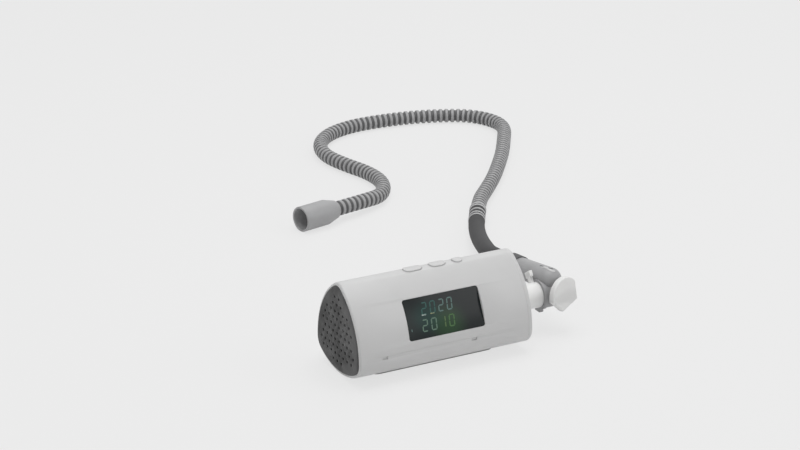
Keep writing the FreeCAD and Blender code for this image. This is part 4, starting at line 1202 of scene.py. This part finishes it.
@dataclass(frozen=True)
class Studio:
    """Pale floor, soft lamps and the camera.

    The camera stands at azimuth and elevation, in degrees, at a distance from the target, and looks turn
    and tilt degrees past it.
    """

    azimuth: float = 28.7
    elevation: float = 22.89
    distance: float = 2.016
    target: Point = (-0.0015, 0.0, 0.0516)
    turn: float = -0.65
    tilt: float = -1.92
    focal_px: float = 2287.0
    frame_px: float = 800.0
    sensor_mm: float = 36.0
    clip: tuple[float, float] = (0.05, 50.0)
    floor_colour: str = "#ECECEC"
    floor_half: float = 12.0
    shadow_share: float = 0.16
    floor_lift: float = 0.830
    room_colour: str = "#FFFFFF"
    room_light: float = 0.35
    lamps: tuple[SoftLamp, ...] = (
        SoftLamp("top", (0.0, 0.1, 2.4), 1.8, 34.0), SoftLamp("left", (-1.8, -0.6, 1.2), 1.6, 4.5),
        SoftLamp("right", (1.8, -1.4, 1.2), 1.8, 12.5), SoftLamp("back", (1.2, 1.4, 1.8), 1.6, 8.0))
    lamp_aim: Point = (0.05, 0.1, 0.04)

    @staticmethod
    def direction(azimuth: float, elevation: float) -> Vector:
        """Return the unit vector from the object to a camera at that azimuth and elevation."""
        a, e = math.radians(azimuth), math.radians(elevation)
        return Vector((-math.sin(a) * math.cos(e), -math.cos(a) * math.cos(e), math.sin(e)))

    @staticmethod
    def stand(name: str, data: bpy.types.ID, place: Sequence[float], look: Vector) -> bpy.types.Object:
        """Put a camera or a lamp into the scene.

        Args:
            name: The object's name.
            data: The camera or the lamp.
            place: Where it stands.
            look: The direction that it points in.

        Returns:
            The new object.
        """
        piece = bpy.data.objects.new(name, data)
        piece.location = place
        piece.rotation_mode = "QUATERNION"
        piece.rotation_quaternion = look.to_track_quat("-Z", "Y")
        bpy.context.scene.collection.objects.link(piece)
        return piece

    def camera(self) -> None:
        """Place the camera and make it the scene's."""
        data = bpy.data.cameras.new("view")
        data.sensor_width = self.sensor_mm
        data.lens = self.sensor_mm * self.focal_px / self.frame_px
        data.clip_start, data.clip_end = self.clip
        place = Vector(self.target) + self.direction(self.azimuth, self.elevation) * self.distance
        look = -self.direction(self.azimuth + self.turn, self.elevation + self.tilt)
        bpy.context.scene.camera = self.stand("view", data, place, look)

    @staticmethod
    def seen(tree: Tree) -> Socket:
        """Tell what is looked at from what only sheds light.

        Args:
            tree: The floor's or the world's node tree.

        Returns:
            1 for what the camera, a mirror or glass shows, and 0 for light on the object.
        """
        path = add_node(tree, "ShaderNodeLightPath").outputs
        mirror = add_node(tree, "ShaderNodeMath", {
            0: path["Is Glossy Ray"], 1: path["Is Transmission Ray"]}, operation="MAXIMUM")
        return add_node(tree, "ShaderNodeMath", {
            0: path["Is Camera Ray"], 1: mirror.outputs[0]}, operation="MAXIMUM").outputs[0]

    def floor(self) -> None:
        """Lay a wide pale floor that takes the shadow and looks pale to the camera and in reflections."""
        material = bpy.data.materials.new("pale_floor")
        tree = emptied_tree(material)
        colour = linear(self.floor_colour)
        matt = add_node(tree, "ShaderNodeBsdfDiffuse", {"Color": colour}).outputs["BSDF"]
        none = add_node(tree, "ShaderNodeBsdfTransparent", {"Color": (0.0, 0.0, 0.0, 1.0)}).outputs["BSDF"]
        faint = add_node(tree, "ShaderNodeMixShader", {0: self.shadow_share, 1: none, 2: matt})
        pale = add_node(tree, "ShaderNodeEmission", {"Color": colour, "Strength": self.floor_lift})
        shown = add_node(tree, "ShaderNodeAddShader", {
            0: faint.outputs["Shader"], 1: pale.outputs["Emission"]})
        mix = add_node(tree, "ShaderNodeMixShader", {
            0: self.seen(tree), 1: matt, 2: shown.outputs["Shader"]})
        add_node(tree, "ShaderNodeOutputMaterial", {"Surface": mix.outputs["Shader"]})
        half = self.floor_half
        mesh = bpy.data.meshes.new("floor")
        mesh.from_pydata([(-half, -half, 0), (half, -half, 0), (half, half, 0), (-half, half, 0)], [],
                         [(0, 1, 2, 3)])
        floor = object_from("floor", mesh, material)

    def world(self) -> None:
        """Give the room an even pale light."""
        world = bpy.data.worlds.new("room")
        tree = emptied_tree(world)
        shown = add_node(tree, "ShaderNodeBackground", {
            "Color": linear(self.floor_colour), "Strength": 1.0})
        light = add_node(tree, "ShaderNodeBackground", {
            "Color": linear(self.room_colour), "Strength": self.room_light})
        mix = add_node(tree, "ShaderNodeMixShader", {
            0: self.seen(tree), 1: light.outputs["Background"], 2: shown.outputs["Background"]})
        add_node(tree, "ShaderNodeOutputWorld", {"Surface": mix.outputs["Shader"]})
        bpy.context.scene.world = world

    def hang(self, lamp: SoftLamp) -> None:
        """Add a lamp to the scene and turn it to the machine.

        Args:
            lamp: The lamp.
        """
        data = bpy.data.lights.new(lamp.name, "AREA")
        data.size = lamp.size
        data.energy = lamp.power
        self.stand(lamp.name, data, lamp.place, Vector(self.lamp_aim) - Vector(lamp.place))

    def build(self) -> None:
        """Set up the camera, floor and light."""
        self.camera()
        self.floor()
        self.world()
        for lamp in self.lamps:
            self.hang(lamp)
        bpy.context.scene.view_settings.view_transform = "Standard"


# ---------------------------------------------------------------- the machine
@dataclass
class Machine:
    """All pieces of the breathing machine: nodes that are refined, and nodes that keep their mesh."""

    palette: Palette = field(default_factory=Palette)
    refined: tuple[RefinedSolid, ...] = (
        RefinedSolid("main_housing", "root", Finish.SHELL, "white_shell", 0.3),
        RefinedSolid("base_cover", "root", Finish.SHELL, "white_shell", 0.2),
        RefinedSolid("outlet_end_cover", "root", Finish.SHELL, "white_shell", 0.15),
        RefinedSolid("filter_cover", "filter_cover", Finish.VENT_DARK, "dark_grey_plastic", 0.2),
        RefinedSolid("left_key", "left_key", Finish.KEY_WHITE, "white_cap", 0.2),
        RefinedSolid("middle_key", "middle_key", Finish.KEY_WHITE, "white_cap", 0.2),
        RefinedSolid("right_key", "right_key", Finish.KEY_WHITE, "white_cap", 0.2),
        RefinedSolid("outlet_port", "root", Finish.PORT_WHITE, "port_white", 0.2),
        RefinedSolid("swivel_ring", "elbow", Finish.RING, "sleeve_rubber", 0.4),
        RefinedSolid("elbow_body", "elbow", Finish.ELBOW, "elbow_grey", 0.3),
        RefinedSolid("elbow_cap", "elbow_cap", Finish.CAP_WHITE, "white_cap", 0.25),
        RefinedSolid("machine_cuff", "elbow", Finish.CUFF, "sleeve_rubber", 0.4),
        RefinedSolid("sleeve_collar", "root", Finish.COLLAR, "sleeve_rubber", 0.3),
        RefinedSolid("hose_connector", "root", Finish.ELBOW, "elbow_grey", 0.4),
        RefinedSolid("display_lens", "root", Finish.GLASS, "black_glass", 0.2),
    )
    domes: tuple[KeyDome, ...] = (KeyDome("left_key"), KeyDome("middle_key"), KeyDome("right_key"))
    kept: dict[str, Finish] = field(default_factory=lambda: {
        "foot_pad": Finish.FOOT, "filter_pad": Finish.FILTER, "inlet_frame": Finish.INNER,
        "silencer_foam": Finish.QUIET_FOAM, "display_panel": Finish.PANEL, "display_board": Finish.BOARD,
        "button_board": Finish.BOARD, "blower_casing": Finish.BLOWER, "blower_lid": Finish.BLOWER,
        "impeller": Finish.IMPELLER, "blower_mounts": Finish.SILICONE, "motor_lid": Finish.BLOWER,
        "motor_stator": Finish.STEEL, "rotor_magnet": Finish.STEEL, "motor_shaft": Finish.BEARING,
        "motor_bearings": Finish.BEARING, "outlet_duct": Finish.SILICONE, "port_seal": Finish.SILICONE,
        "cap_seal": Finish.SILICONE, "main_board": Finish.BOARD, "board_chips": Finish.CHIP,
        "pressure_sensor": Finish.CHIP, "dc_inlet": Finish.CHIP, "dc_pin": Finish.BRASS})

    def build(self, frame: dict) -> None:
        """Dress every node and add the finer pieces.

        Args:
            frame: The loaded model.
        """
        pieces = [solid.build(frame, self.palette) for solid in (*self.refined, *self.domes)]
        for node, finish in self.kept.items():
            materials = frame["nodes"][node].data.materials
            materials.clear()
            materials.append(self.palette[finish])
        pieces += HoseRun().build(self.palette)
        pieces += Display().build(self.palette)
        pieces += ElbowVent().build(frame, self.palette)
        for piece in pieces:
            LOG.info("%s: %d faces", piece.name, len(piece.data.polygons))


def main() -> None:
    """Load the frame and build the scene."""
    logging.basicConfig(level=logging.INFO, format="%(name)s: %(message)s")
    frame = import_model()
    Studio().build()
    Machine().build(frame)


if __name__ == "__main__":
    main()
